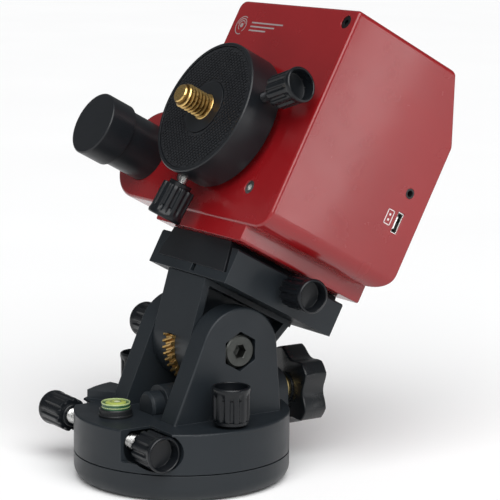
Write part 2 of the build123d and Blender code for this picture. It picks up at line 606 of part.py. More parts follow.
with BuildPart() as dovetail_bar:
    with BuildSketch(behind(SADDLE_BACK + 0.5)):
        with BuildLine():
            Polyline(
                (-BAR_HALF_BOTTOM, BAR_BOTTOM),
                (-BAR_HALF_TOP, BAR_TOP),
                (BAR_HALF_TOP, BAR_TOP),
                (BAR_HALF_BOTTOM, BAR_BOTTOM),
                close=True,
            )
        make_face()
    extrude(amount=SADDLE_BACK + 0.5 - SADDLE_FRONT)
    for depth in BAR_SCREW_DEPTHS:
        bar(level_at(BAR_BOTTOM), 5.1, 5.0, at=(0, depth), mode=Mode.SUBTRACT)
        bar(level_at(BAR_BOTTOM), M6_R + 0.1, 20, at=(0, depth), mode=Mode.SUBTRACT)
save(dovetail_bar, "dovetail_bar")

with BuildPart() as dovetail_screws:
    for depth in BAR_SCREW_DEPTHS:
        bar(level_at(BAR_BOTTOM + 0.6), 5.0, 4.3, at=(0, depth))
        bar(level_at(BAR_BOTTOM + 4.9), M6_R - 0.05, 11.6, at=(0, depth))
        hexagon(level_at(BAR_BOTTOM + 0.6), 5.0, 2.8, at=(0, depth), mode=Mode.SUBTRACT)
save(dovetail_screws, "dovetail_screws")


def housing_outline(plane, inset):
    """Front outline of the head: a box with a round lobe for the polar scope."""
    with BuildSketch(plane) as outline:
        with Locations(((BODY_LEFT + BODY_RIGHT) / 2, (BODY_BOTTOM + BODY_TOP) / 2)):
            Rectangle(BODY_RIGHT - BODY_LEFT, BODY_TOP - BODY_BOTTOM)
        fillet(vertices().group_by(Axis.X)[0].sort_by(Axis.Y)[-1], radius=3.5)
        fillet(vertices().group_by(Axis.X)[-1].sort_by(Axis.Y)[-1], radius=1.6)
        fillet(vertices().group_by(Axis.X)[-1].sort_by(Axis.Y)[0], radius=7.0)
        with Locations((LOBE_X, LOBE_W)):
            Circle(LOBE_R)
        lobe_join = (LOBE_X + BODY_LEFT) / 2
        with Locations((lobe_join + 3, LOBE_W)):
            Rectangle(BODY_LEFT - LOBE_X + 6, 2 * LOBE_R)
        inner_corner = vertices().sort_by_distance((BODY_LEFT, LOBE_W + LOBE_R))[0]
        fillet(inner_corner, radius=6.0)
        if inset:
            offset(amount=-inset, kind=Kind.INTERSECTION)
    return outline.sketch


def rear_profile(plane, inset):
    """Side outline of the head, with its slanted upper back."""
    with BuildSketch(plane) as outline:
        with BuildLine():
            Polyline(
                (BODY_FRONT, BODY_BOTTOM),
                (BODY_BACK, BODY_BOTTOM),
                (BODY_BACK, SLANT_LOW_HEIGHT),
                (SLANT_TOP_DEPTH, BODY_TOP),
                (BODY_FRONT, BODY_TOP),
                close=True,
            )
        make_face()
        fillet(vertices().sort_by_distance((BODY_BACK, BODY_BOTTOM))[0], radius=9.0)
        fillet(vertices().sort_by_distance((SLANT_TOP_DEPTH, BODY_TOP))[0], radius=3.0)
        fillet(vertices().sort_by_distance((BODY_BACK, SLANT_LOW_HEIGHT))[0], radius=4.0)
        if inset:
            offset(amount=-inset, kind=Kind.INTERSECTION)
    return outline.sketch


with BuildPart() as front_housing:
    extrude(housing_outline(behind(BODY_BACK), 0), amount=BODY_BACK - BODY_FRONT)
    extrude(rear_profile(side(-100), 0), amount=200, mode=Mode.INTERSECT)
    front_face = front_housing.faces().sort_by(Axis(HEAD.origin, HEAD.z_dir))[-1]
    fillet(front_face.edges(), radius=1.2)
    # hollow, open at the back
    extrude(housing_outline(behind(100), WALL + 0.1), amount=100 - BODY_FRONT - WALL,
            mode=Mode.SUBTRACT)
    # foot that stands on the dovetail bar
    with BuildSketch(behind(FOOT_BACK)):
        with Locations(((FOOT_LEFT + FOOT_RIGHT) / 2, (FOOT_BOTTOM + BODY_BOTTOM) / 2 + 1)):
            Rectangle(FOOT_RIGHT - FOOT_LEFT, BODY_BOTTOM - FOOT_BOTTOM + 2)
        fillet(vertices().group_by(Axis.Y)[0], radius=1.0)
    extrude(amount=FOOT_BACK - BODY_FRONT - 0.6)
    # bearing boss
    bar(behind(BOSS_BACK), BOSS_R, BOSS_BACK - BODY_FRONT - 1)
    bar(behind(BEARING_DEPTHS[0] + BEARING_WIDTH), BEARING_R_OUT + 0.03, 20, mode=Mode.SUBTRACT)
    bar(behind(BOSS_BACK), BEARING_R_OUT + 0.03, BOSS_BACK - BEARING_DEPTHS[1],
        mode=Mode.SUBTRACT)
    bar(behind(BOSS_BACK), 12.5, 40, mode=Mode.SUBTRACT)
    # polar scope bore
    bar(behind(30), SCOPE_TUBE_R + FIT, 20, at=(LOBE_X, LOBE_W), mode=Mode.SUBTRACT)
    # posts for the rear cover and for the drive bracket
    for at in POSTS:
        bar(behind(POST_END), POST_R, POST_END - BODY_FRONT - 1.5, at=at)
        bar(behind(POST_END), 1.25, 10, at=at, mode=Mode.SUBTRACT)
    for at in BRACKET_SCREWS:
        bar(behind(42.9), 4.0, 42.9 - BODY_FRONT - 1.5, at=at)
        bar(behind(42.9), 1.25, 9, at=at, mode=Mode.SUBTRACT)
    for at in FRONT_SCREWS:
        bar(behind(BODY_FRONT), 2.6, -1.6, at=at, mode=Mode.SUBTRACT)
        bar(behind(BODY_FRONT), 1.6, -3, at=at, mode=Mode.SUBTRACT)
    # openings for the sockets
    usb_depths = (USB_DEPTH - 1.5, USB_DEPTH + 1.5)
    usb_heights = (USB_HEIGHT - 4.1, USB_HEIGHT + 4.1)
    slab(side(BODY_RIGHT - WALL - 1), usb_depths, usb_heights, 5, mode=Mode.SUBTRACT)
    bar(side(BODY_RIGHT - WALL - 1), 1.95, 5, at=JACK_AT, mode=Mode.SUBTRACT)
    for depth in BAR_SCREW_DEPTHS:
        bar(level_at(FOOT_BOTTOM), M6_R, 5.2, at=(0, depth), mode=Mode.SUBTRACT)
save(front_housing, "front_housing")

with BuildPart() as rear_cover:
    extrude(housing_outline(behind(90), WALL + 0.2), amount=40)
    extrude(rear_profile(side(-100), 0), amount=200, mode=Mode.INTERSECT)
    extrude(rear_profile(side(-100), WALL), amount=200, mode=Mode.SUBTRACT)
    bar(behind(90), SCOPE_TUBE_R + FIT, 40, at=(LOBE_X, LOBE_W), mode=Mode.SUBTRACT)
    bar(behind(90), 3.65, 40, at=BUTTON_AT, mode=Mode.SUBTRACT)
    for at in POSTS:
        bar(behind(90), 2.9, 90 - 77.5, at=at, mode=Mode.SUBTRACT)
        bar(behind(90), 1.6, 30, at=at, mode=Mode.SUBTRACT)
save(rear_cover, "rear_cover")

with BuildPart() as front_screws:
    for at in FRONT_SCREWS:
        bar(behind(BODY_FRONT + 1.55), 2.45, 1.3, at=at)
        bar(behind(BODY_FRONT + 6.0), 1.55, 4.5, at=at)
        hexagon(behind(BODY_FRONT + 1.3), 2.0, 2, at=at, mode=Mode.SUBTRACT)
save(front_screws, "front_screws")

with BuildPart() as case_screws:
    for at in POSTS:
        bar(behind(BODY_BACK), 2.75, 1.4, at=at)
        bar(behind(BODY_BACK - 1.35), 1.2, 9.0, at=at)
        hexagon(behind(BODY_BACK), 2.0, 0.9, at=at, mode=Mode.SUBTRACT)
    for at in BRACKET_SCREWS:
        bar(behind(48.2), 2.75, 1.7, at=at)
        bar(behind(46.6), 1.2, 9.0, at=at)
        hexagon(behind(48.2), 2.0, 0.9, at=at, mode=Mode.SUBTRACT)
save(case_screws, "case_screws")

# ---------------------------------------------------------------- right ascension axis

with BuildPart() as ra_bearings:
    for depth in BEARING_DEPTHS:
        with BuildSketch(behind(depth + BEARING_WIDTH)) as race:
            Circle(BEARING_R_OUT)
            Circle(BEARING_R_IN, mode=Mode.SUBTRACT)
        extrude(race.sketch, amount=BEARING_WIDTH)
        for recess, way in ((depth, -1), (depth + BEARING_WIDTH, 1)):
            with BuildSketch(behind(recess)) as shield:
                Circle(BEARING_R_OUT - 2.2)
                Circle(BEARING_R_IN + 2.2, mode=Mode.SUBTRACT)
            extrude(shield.sketch, amount=0.5 * way, mode=Mode.SUBTRACT)
save(ra_bearings, "ra_bearings")

with BuildPart() as ra_shaft:
    bar(behind(RA_SHAFT_END), RA_SHAFT_R, RA_SHAFT_END - FLANGE_BACK)
    bar(behind(BEARING_DEPTHS[0] - 0.1), 9.0, BEARING_DEPTHS[0] - 0.1 - FLANGE_BACK)
    bar(behind(FLANGE_BACK), FLANGE_R, FLANGE_BACK - FLANGE_FRONT)
    bar(behind(FLANGE_FRONT), 8.5, -3.4, mode=Mode.SUBTRACT)
save(ra_shaft, "ra_shaft")

with BuildPart() as ra_worm_wheel:
    wheel_back = RA_WHEEL_FRONT + RA_WHEEL_WIDTH
    toothed_wheel(behind(wheel_back), RA_WHEEL_R, RA_TEETH, RA_WHEEL_WIDTH, 1.2)
    bar(behind(wheel_back + 3.0), 10.0, wheel_back + 3.0 - BOSS_BACK - 0.4)
    with BuildSketch(behind(wheel_back)) as openings:
        with PolarLocations(15.5, 6):
            Circle(3.4)
    extrude(openings.sketch, amount=RA_WHEEL_WIDTH, mode=Mode.SUBTRACT)
    bar(behind(80), RA_SHAFT_R + 0.02, 60, mode=Mode.SUBTRACT)
save(ra_worm_wheel, "ra_worm_wheel")

with BuildPart() as camera_disc:
    bar(behind(DISC_BACK), DISC_R, DISC_BACK - 0.2)
    chamfer(camera_disc.edges().filter_by(GeomType.CIRCLE), length=0.4)
    with BuildSketch(behind(1.4)) as recess:
        Circle(PAD_R_OUT + 0.1)
        Circle(PAD_R_IN - 0.1, mode=Mode.SUBTRACT)
    extrude(recess.sketch, amount=5, mode=Mode.SUBTRACT)
    bar(behind(DISC_BACK), FLANGE_R + FIT, DISC_BACK - FLANGE_FRONT + 0.2, mode=Mode.SUBTRACT)
    bar(behind(FLANGE_FRONT), STUD_SHOULDER_R + 0.03, FLANGE_FRONT, mode=Mode.SUBTRACT)
    for clamp in (RIGHT_DISC_CLAMP, LOWER_DISC_CLAMP):
        bore_at = disc_clamp_plane(clamp[0], FLANGE_R - 5)
        bar(bore_at, M4_R + FIT, DISC_R, mode=Mode.SUBTRACT)
save(camera_disc, "camera_disc")

with BuildPart() as disc_pad:
    with BuildSketch(behind(1.35)) as ring:
        Circle(PAD_R_OUT)
        Circle(PAD_R_IN, mode=Mode.SUBTRACT)
    extrude(ring.sketch, amount=1.35)
save(disc_pad, "disc_pad")

with BuildPart() as camera_stud:
    stud_back = FLANGE_FRONT - 0.15
    bar(behind(0), STUD_R, STUD_TIP)
    chamfer(camera_stud.faces().sort_by(Axis(HEAD.origin, HEAD.z_dir))[-1].edges(),
            length=2.2, length2=0.9)
    bar(behind(stud_back), STUD_SHOULDER_R, stud_back)
    bar(behind(stud_back + 2.55), 7.5, 2.55)
save(camera_stud, "camera_stud")

# ---------------------------------------------------------------- right ascension drive

with BuildPart() as ra_worm:
    worm_line = Plane(
        origin=face_centre - polar_axis * RA_WORM_DEPTH + head_up * RA_WORM_HEIGHT,
        x_dir=head_up,
        z_dir=(1, 0, 0),
    )
    bar(worm_line.offset(-BRACKET_HALF + 0.5), RA_WORM_SHAFT, BRACKET_HALF + 25.6)
    worm_thread(worm_line.offset(-8.1), RA_WORM_CREST, RA_WORM_ROOT, 1.8, 9)
save(ra_worm, "ra_worm")

with BuildPart() as worm_spur_gear:
    toothed_wheel(worm_line.offset(GEAR_X), BIG_GEAR_R, BIG_GEAR_TEETH, GEAR_WIDTH, 1.0)
    bar(worm_line.offset(GEAR_X), RA_WORM_SHAFT + 0.02, GEAR_WIDTH, mode=Mode.SUBTRACT)
save(worm_spur_gear, "worm_spur_gear")

motor_line = Plane(
    origin=face_centre - polar_axis * MOTOR_DEPTH + head_up * RA_WORM_HEIGHT,
    x_dir=head_up,
    z_dir=(1, 0, 0),
)
with BuildPart() as motor_pinion:
    toothed_wheel(motor_line.offset(GEAR_X), PINION_R, PINION_TEETH, GEAR_WIDTH, 0.9)
    bar(motor_line.offset(GEAR_X), 1.55, GEAR_WIDTH, mode=Mode.SUBTRACT)
save(motor_pinion, "motor_pinion")

with BuildPart() as ra_motor:
    bar(motor_line.offset(-24), MOTOR_R, 40.95)
    chamfer(ra_motor.edges().filter_by(GeomType.CIRCLE), length=0.6)
    bar(motor_line.offset(16.9), 3.4, 3.2)
    bar(motor_line.offset(16.9), 1.5, 8.9)
save(ra_motor, "ra_motor")

with BuildPart() as worm_bracket:
    # bridge over the worm, with a lug at the left and a plate at the right that holds the motor
    slab(behind(46.5), (-BRACKET_HALF, BRACKET_HALF), (32.3, 40.0), 3.4)
    for lug in ((-BRACKET_HALF, -13.0), (13.0, BRACKET_HALF)):
        slab(behind(55.0), lug, (22.4, 40.0), 11.9)
    slab(behind(70.0), (17.0, BRACKET_HALF), (18.0, 32.0), 26.9)
    bar(worm_line.offset(-BRACKET_HALF - 1), RA_WORM_SHAFT + FIT, 42, mode=Mode.SUBTRACT)
    bar(motor_line.offset(16), 3.5, 6, mode=Mode.SUBTRACT)
    for at in BRACKET_SCREWS:
        bar(behind(56), 3.0, 9.5, at=at, mode=Mode.SUBTRACT)
        bar(behind(60), 1.6, 20, at=at, mode=Mode.SUBTRACT)
save(worm_bracket, "worm_bracket")

# ---------------------------------------------------------------- electronics

with BuildPart() as circuit_board:
    slab(behind(73.0), (20.0, 39.9), (-20.6, 14.0), 1.6)
    slab(behind(71.4), (22.0, 30.0), (-12.0, -4.0), 1.6)
    slab(behind(71.4), (22.0, 27.0), (2.0, 9.0), 1.2)
    bar(behind(71.4), 3.0, 6.0, at=(26.0, -16.0))
    slab(behind(74.2), (25.0, 31.0), (1.0, 7.0), 1.2)
save(circuit_board, "circuit_board")

with BuildPart() as usb_socket:
    for x, length, half_depth, half_height, mode in (
        (34.0, 8.6, 1.45, 4.05, Mode.ADD),
        (35.0, 8.0, 1.1, 3.7, Mode.SUBTRACT),
        (35.0, 6.5, 0.3, 2.4, Mode.ADD),
    ):
        depths = (USB_DEPTH - half_depth, USB_DEPTH + half_depth)
        heights = (USB_HEIGHT - half_height, USB_HEIGHT + half_height)
        slab(side(x), depths, heights, length, mode=mode)
save(usb_socket, "usb_socket")

with BuildPart() as jack_socket:
    slab(side(31.0), (67.2, 71.35), (-2.0, 5.6), 9.2)
    bar(side(40.0), 1.85, 3.0, at=JACK_AT)
    bar(side(33.0), 1.25, 12, at=JACK_AT, mode=Mode.SUBTRACT)
save(jack_socket, "jack_socket")

with BuildPart() as battery_pack:
    slab(behind(76.2), (-24.0, 14.0), (-24.0, 8.0), 10.0)
    fillet(battery_pack.edges().filter_by(Axis(HEAD.origin, HEAD.z_dir)), radius=2.0)
save(battery_pack, "battery_pack")

with BuildPart() as power_button:
    bar(behind(76.3), 4.5, 1.0, at=BUTTON_AT)
    bar(behind(80.0), 3.5, 3.75, at=BUTTON_AT)
    fillet(power_button.edges().filter_by(GeomType.CIRCLE).sort_by(
        Axis(HEAD.origin, HEAD.z_dir))[0], radius=0.5)
save(power_button, "power_button")

# ---------------------------------------------------------------- polar scope

with BuildPart() as polar_tube:
    bar(behind(84.0), SCOPE_TUBE_R, 92.6, at=(LOBE_X, LOBE_W))
    bar(behind(84.0), SCOPE_BORE_R, 92.6, at=(LOBE_X, LOBE_W), mode=Mode.SUBTRACT)
save(polar_tube, "polar_tube")

with BuildPart() as polar_cap:
    bar(behind(0.0), SCOPE_CAP_R, 11.0, at=(LOBE_X, LOBE_W))
    fillet(polar_cap.faces().sort_by(Axis(HEAD.origin, HEAD.z_dir))[-1].edges(), radius=0.8)
    bar(behind(0.0), SCOPE_TUBE_R + FIT, 8.8, at=(LOBE_X, LOBE_W), mode=Mode.SUBTRACT)
save(polar_cap, "polar_cap")

with BuildPart() as polar_objective:
    bar(behind(-1.0), SCOPE_BORE_R - 0.04, 4.0, at=(LOBE_X, LOBE_W))
save(polar_objective, "polar_objective")

with BuildPart() as polar_eyepiece:
    bar(behind(96.0), 13.0, 11.8, at=(LOBE_X, LOBE_W))
    chamfer(polar_eyepiece.edges().filter_by(GeomType.CIRCLE), length=0.7)
    bar(behind(85.0), SCOPE_BORE_R - 0.08, 9.0, at=(LOBE_X, LOBE_W))
    bar(behind(96.0), 6.0, 21, at=(LOBE_X, LOBE_W), mode=Mode.SUBTRACT)
    bar(behind(96.0), 7.1, 5, at=(LOBE_X, LOBE_W), mode=Mode.SUBTRACT)
save(polar_eyepiece, "polar_eyepiece")

with BuildPart() as polar_eye_lens:
    bar(behind(94.5), 7.0, 3.4, at=(LOBE_X, LOBE_W))
save(polar_eye_lens, "polar_eye_lens")
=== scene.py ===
import json
from math import ceil, cos, hypot, pi, radians, sin, sqrt, tau

import bmesh
import bpy
from mathutils import Matrix, Vector


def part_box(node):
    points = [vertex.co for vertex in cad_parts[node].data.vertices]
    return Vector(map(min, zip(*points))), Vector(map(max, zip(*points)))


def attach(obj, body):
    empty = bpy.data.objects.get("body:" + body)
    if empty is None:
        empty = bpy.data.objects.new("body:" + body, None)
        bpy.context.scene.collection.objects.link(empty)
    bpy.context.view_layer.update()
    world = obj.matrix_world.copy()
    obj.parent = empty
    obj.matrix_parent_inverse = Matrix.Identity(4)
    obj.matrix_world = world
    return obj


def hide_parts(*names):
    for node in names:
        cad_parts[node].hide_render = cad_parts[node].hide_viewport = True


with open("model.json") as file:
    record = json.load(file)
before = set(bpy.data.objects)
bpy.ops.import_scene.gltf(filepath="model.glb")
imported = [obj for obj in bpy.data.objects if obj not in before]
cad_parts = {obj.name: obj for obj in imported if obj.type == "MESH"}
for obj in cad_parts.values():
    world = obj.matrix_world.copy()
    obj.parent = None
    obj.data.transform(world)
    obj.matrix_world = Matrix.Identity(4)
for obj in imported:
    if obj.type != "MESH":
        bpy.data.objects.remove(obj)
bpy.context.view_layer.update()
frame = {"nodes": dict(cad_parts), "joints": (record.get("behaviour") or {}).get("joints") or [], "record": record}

# Looks of the star tracker mount. Lengths in this file are millimetres until they meet a mesh.
MM = 0.001
MERGE_WITHIN = 1e-7  # metres
UP = Vector((0, 0, 1))

# ------------------------------------------------------------------ places, from the frame

joints = {joint["name"]: joint for joint in frame["joints"]}
nodes = frame["nodes"]
across = Vector((1, 0, 0))
polar_axis = Vector(joints["ra_turn"]["axis"]).normalized()
head_up = polar_axis.cross(across)
face_centre = Vector(joints["ra_turn"]["pos_m"]) / MM
altitude_centre = Vector(joints["altitude_turn"]["pos_m"]) / MM
altitude_worm_centre = Vector(joints["altitude_worm_spin"]["pos_m"]) / MM


def head_point(x, depth, height):
    """Point in the head: x right, depth behind the camera disc's face, height over its axis."""
    return face_centre + across * x - polar_axis * depth + head_up * height


def stand(origin, axis, x_dir):
    """Matrix of a local frame in millimetres: Z along axis, X near x_dir."""
    z = axis.normalized()
    x = (x_dir - z * x_dir.dot(z)).normalized()
    y = z.cross(x)
    turn = Matrix((x, y, z)).transposed().to_4x4()
    return Matrix.Scale(MM, 4) @ Matrix.Translation(origin) @ turn


# ------------------------------------------------------------------ mesh building


def as_object(name, mesh_data, material, place, smooth_angle=35):
    """Turns (points, faces) in a local frame into an object with auto-smoothed shading."""
    points, faces = mesh_data
    mesh = bpy.data.meshes.new(name)
    mesh.from_pydata([place @ Vector(p) for p in points], [], faces)
    mesh.materials.append(material)
    mesh.validate()
    work = bmesh.new()
    work.from_mesh(mesh)
    bmesh.ops.remove_doubles(work, verts=work.verts, dist=MERGE_WITHIN)
    bmesh.ops.recalc_face_normals(work, faces=work.faces)
    for face in work.faces:
        face.smooth = True
    for edge in work.edges:
        edge.smooth = len(edge.link_faces) == 2 and edge.calc_face_angle() < radians(smooth_angle)
    work.to_mesh(mesh)
    work.free()
    thing = bpy.data.objects.new(name, mesh)
    bpy.context.scene.collection.objects.link(thing)
    return thing


def ring_stack(rings):
    """Closed skin over rings of points. Rings have one count, and a single point closes an end."""
    points, faces, starts = [], [], []
    for ring in rings:
        starts.append(len(points))
        points += ring
    for low, high, start, end in zip(rings, rings[1:], starts, starts[1:]):
        count = max(len(low), len(high))
        for i in range(count):
            j = (i + 1) % count
            if len(low) == 1:
                faces.append((start, end + j, end + i))
            elif len(high) == 1:
                faces.append((start + i, start + j, end))
            else:
                faces.append((start + i, start + j, end + j, end + i))
    if len(rings[0]) > 1:
        faces.append(tuple(reversed(range(len(rings[0])))))
    if len(rings[-1]) > 1:
        faces.append(tuple(range(starts[-1], len(points))))
    return points, faces


def round_ring(z, segments, radius):
    """Circle of points at a height; radius is a number or a function of the angle."""
    ring = []
    for i in range(segments):
        angle = tau * i / segments
        r = radius(angle) if callable(radius) else radius
        ring.append((r * cos(angle), r * sin(angle), z))
    return ring


def lathe(profile, segments=72):
    """Closed turned solid from (radius, z) pairs; a radius of 0 closes an end."""
    return ring_stack([[(0, 0, z)] if r == 0 else round_ring(z, segments, r) for r, z in profile])


def lathe_ring(inner, outer, low, high, segments=128, edge=0.15):
    """Flat ring with softened outer edges."""
    rows = [(inner, low), (outer, low), (outer, high - edge), (outer - edge, high)]
    rows += [(inner + edge, high), (inner, high - edge)]
    points, faces = [], []
    for r, z in rows:
        points += round_ring(z, segments, r)
    count = len(rows)
    for row in range(count):
        low_start, high_start = row * segments, (row + 1) % count * segments
        for i in range(segments):
            j = (i + 1) % segments
            faces.append((low_start + i, low_start + j, high_start + j, high_start + i))
    return points, faces


def quarter(steps):
    """Cosine and sine at even steps round a quarter turn."""
    turns = [pi / 2 * i / steps for i in range(steps + 1)]
    return [(cos(turn), sin(turn)) for turn in turns]


def shifted(mesh_data, dx, dy):
    """The same points and faces, moved in X and Y."""
    points, faces = mesh_data
    return [(x + dx, y + dy, z) for x, y, z in points], faces


def merge(*parts):
    """Several (points, faces) as one."""
    points, faces = [], []
    for part_points, part_faces in parts:
        start = len(points)
        points += part_points
        faces += [tuple(i + start for i in face) for face in part_faces]
    return points, faces


def block(low, high, taper=0.0):
    """Box between two corners; taper draws its upper face in on all sides."""
    (x0, y0, z0), (x1, y1, z1) = low, high
    points = [(x0, y0, z0), (x1, y0, z0), (x1, y1, z0), (x0, y1, z0)]
    x0, y0, x1, y1 = x0 + taper, y0 + taper, x1 - taper, y1 - taper
    points += [(x0, y0, z1), (x1, y0, z1), (x1, y1, z1), (x0, y1, z1)]
    faces = [(3, 2, 1, 0), (4, 5, 6, 7), (0, 1, 5, 4), (1, 2, 6, 5), (2, 3, 7, 6), (3, 0, 4, 7)]
    return points, faces


def smooth_step(low, high, value):
    """0 below low, 1 above high, and an even curve between."""
    t = min(max((value - low) / (high - low), 0.0), 1.0)
    return t * t * (3 - 2 * t)


# ------------------------------------------------------------------ materials

# stretches of a noise texture's values
MIDDLE, WIDE = (0.35, 0.65), (0.3, 0.7)
# texture scales, in features per metre
PAINT_CLOUDS, PAINT_SHEEN, PAINT_PEEL, PAINT_SPECKS, PAINT_EDGE_PATCHES = 28, 90, 650, 3200, 260
METAL_CLOUDS, METAL_SHEEN, METAL_SCRATCHES = 60, 400, 2600
PLASTIC_CLOUDS, PLASTIC_SHEEN, PLASTIC_GRAIN = 45, 160, 2200
GLASS_CLOUDS, GLASS_SHEEN = 180, 300
COAT_ROUGHNESS = 0.10
BEVEL_SAMPLES = 6
EDGE_ALIKE = (0.99, 0.86)  # how alike the true and the rounded normal are, from flat to edge
# patches along the edges that turn lighter: wear, and a painted edge highlight
EDGE_WEAR_AND_HIGHLIGHT = (0.42, 0.62, 0.25, 1.0)


class Finish:
    """A node material built round one Principled shader."""

    def __init__(self, name, **sockets):
        self.material = bpy.data.materials.new(name)
        self.material.use_nodes = True
        self.tree = self.material.node_tree
        self.shader = self.tree.nodes["Principled BSDF"]
        for socket, value in sockets.items():
            self.shader.inputs[socket.replace("_", " ")].default_value = value
        self.coords = self.node("ShaderNodeTexCoord").outputs["Object"]
        self.normal = None

    def node(self, kind, **fields):
        made = self.tree.nodes.new(kind)
        for field, value in fields.items():
            setattr(made, field, value)
        return made

    def link(self, output, target):
        self.tree.links.new(output, target)

    def noise(self, scale, detail=3.0, stretch=None):
        """Noise in the object's own coordinates; scale is in features per metre."""
        source = self.coords
        if stretch:
            mapping = self.node("ShaderNodeMapping")
            mapping.inputs["Scale"].default_value = stretch
            self.link(source, mapping.inputs["Vector"])
            source = mapping.outputs["Vector"]
        texture = self.node("ShaderNodeTexNoise")
        texture.inputs["Scale"].default_value = scale
        texture.inputs["Detail"].default_value = detail
        self.link(source, texture.inputs["Vector"])
        return texture.outputs["Fac"]

    def ramp(self, source, low, high, out_low=0.0, out_high=1.0):
        """Maps a stretch of a texture's values onto a range of numbers."""
        mapped = self.node("ShaderNodeMapRange")
        names = ("From Min", "From Max", "To Min", "To Max")
        for socket, value in zip(names, (low, high, out_low, out_high)):
            mapped.inputs[socket].default_value = value
        self.link(source, mapped.inputs["Value"])
        return mapped.outputs["Result"]

    def mix(self, source, first, second):
        """Colour that goes from one to another with a texture; each is a colour or an output."""
        blend = self.node("ShaderNodeMix", data_type="RGBA")
        self.link(source, blend.inputs["Factor"])
        slots = [i for i in blend.inputs if i.type == "RGBA"]
        for slot, colour in zip(slots, (first, second)):
            if isinstance(colour, tuple):
                slot.default_value = (*colour, 1)
            else:
                self.link(colour, slot)
        return [o for o in blend.outputs if o.type == "RGBA"][0]

    def tint(self, source, first, second):
        """Base colour that goes from one colour to another with a texture."""
        self.link(self.mix(source, first, second), self.shader.inputs["Base Color"])

    def roughness(self, source, low, high):
        """Roughness that wanders between two values."""
        self.link(self.ramp(source, *WIDE, low, high), self.shader.inputs["Roughness"])

    def rounded(self, radius_mm):
        """Normal of the surface with its edges rounded."""
        bevel = self.node("ShaderNodeBevel", samples=BEVEL_SAMPLES)
        bevel.inputs["Radius"].default_value = radius_mm * MM
        return bevel.outputs["Normal"]

    def soften(self, radius_mm):
        """Rounds the look of sharp edges, under any relief."""
        self.normal = self.rounded(radius_mm)
        self.link(self.normal, self.shader.inputs["Normal"])

    def worn_and_lit_edges(self, radius_mm, first, second, wear_and_highlight, patches):
        """Cloudy colour that turns lighter along edges in patches: edge wear, and a painted edge highlight."""
        alike = self.node("ShaderNodeVectorMath", operation="DOT_PRODUCT")
        self.link(self.rounded(radius_mm), alike.inputs[0])
        self.link(self.node("ShaderNodeNewGeometry").outputs["Normal"], alike.inputs[1])
        wear_and_highlight_mask = self.node("ShaderNodeMath", operation="MULTIPLY")
        self.link(self.ramp(alike.outputs["Value"], *EDGE_ALIKE), wear_and_highlight_mask.inputs[0])
        self.link(self.ramp(self.noise(PAINT_EDGE_PATCHES, 4), *EDGE_WEAR_AND_HIGHLIGHT), wear_and_highlight_mask.inputs[1])
        self.tint(wear_and_highlight_mask.outputs["Value"], self.mix(patches, first, second), wear_and_highlight)

    def relief(self, source, depth_mm):
        """Adds fine relief; several calls stack up."""
        bump = self.node("ShaderNodeBump")
        bump.inputs["Distance"].default_value = depth_mm * MM
        self.link(source, bump.inputs["Height"])
        if self.normal:
            self.link(self.normal, bump.inputs["Normal"])
        self.normal = bump.outputs["Normal"]
        self.link(self.normal, self.shader.inputs["Normal"])


def painted(
    name, first, second, wear_and_highlight, roughness, coat, peel_mm, specks_mm, edge_mm=0.35, shine=0.3
):
    """Paint or powder coat: cloudy colour, orange peel, fine specks, and edges lighter from wear and a painted
    highlight.
    """
    finish = Finish(
        name, Coat_Weight=coat, Coat_Roughness=COAT_ROUGHNESS, Specular_IOR_Level=shine
    )
    patches = finish.ramp(finish.noise(PAINT_CLOUDS, 4), *MIDDLE)
    finish.worn_and_lit_edges(edge_mm, first, second, wear_and_highlight, patches)
    finish.roughness(finish.noise(PAINT_SHEEN, 4), roughness * 0.88, roughness * 1.15)
    finish.soften(edge_mm)
    finish.relief(finish.noise(PAINT_PEEL, 2), peel_mm)
    finish.relief(finish.noise(PAINT_SPECKS, 2), specks_mm)
    return finish.material


def metal(name, first, second, roughness, direction=(1, 1, 1), scratch_mm=0.004, edge_mm=0.12):
    """Bare metal with tool marks drawn out along one direction."""
    finish = Finish(name, Metallic=1.0)
    finish.tint(finish.ramp(finish.noise(METAL_CLOUDS, 4), *WIDE), first, second)
    sheen = finish.noise(METAL_SHEEN, 4, stretch=direction)
    finish.roughness(sheen, roughness * 0.75, roughness * 1.3)
    if edge_mm:
        finish.soften(edge_mm)
    finish.relief(finish.noise(METAL_SCRATCHES, 3, stretch=direction), scratch_mm)
    return finish.material


def moulded(name, first, second, roughness, grain_mm, shine=0.4, edge_mm=0.15):
    """Moulded plastic or rubber with a fine grain."""
    finish = Finish(name, Specular_IOR_Level=shine)
    finish.tint(finish.ramp(finish.noise(PLASTIC_CLOUDS, 4), *MIDDLE), first, second)
    finish.roughness(finish.noise(PLASTIC_SHEEN, 4), roughness * 0.85, roughness * 1.2)
    finish.soften(edge_mm)
    finish.relief(finish.noise(PLASTIC_GRAIN, 2), grain_mm)
    return finish.material


def glassy(name, first, second, roughness, transmission, ior=1.49):
    """Clear or tinted glass, fluid or plastic."""
    finish = Finish(name, Transmission_Weight=transmission, IOR=ior)
    finish.tint(finish.ramp(finish.noise(GLASS_CLOUDS, 3), *WIDE), first, second)
    finish.roughness(finish.noise(GLASS_SHEEN, 3), roughness * 0.6, roughness * 1.4)
    return finish.material


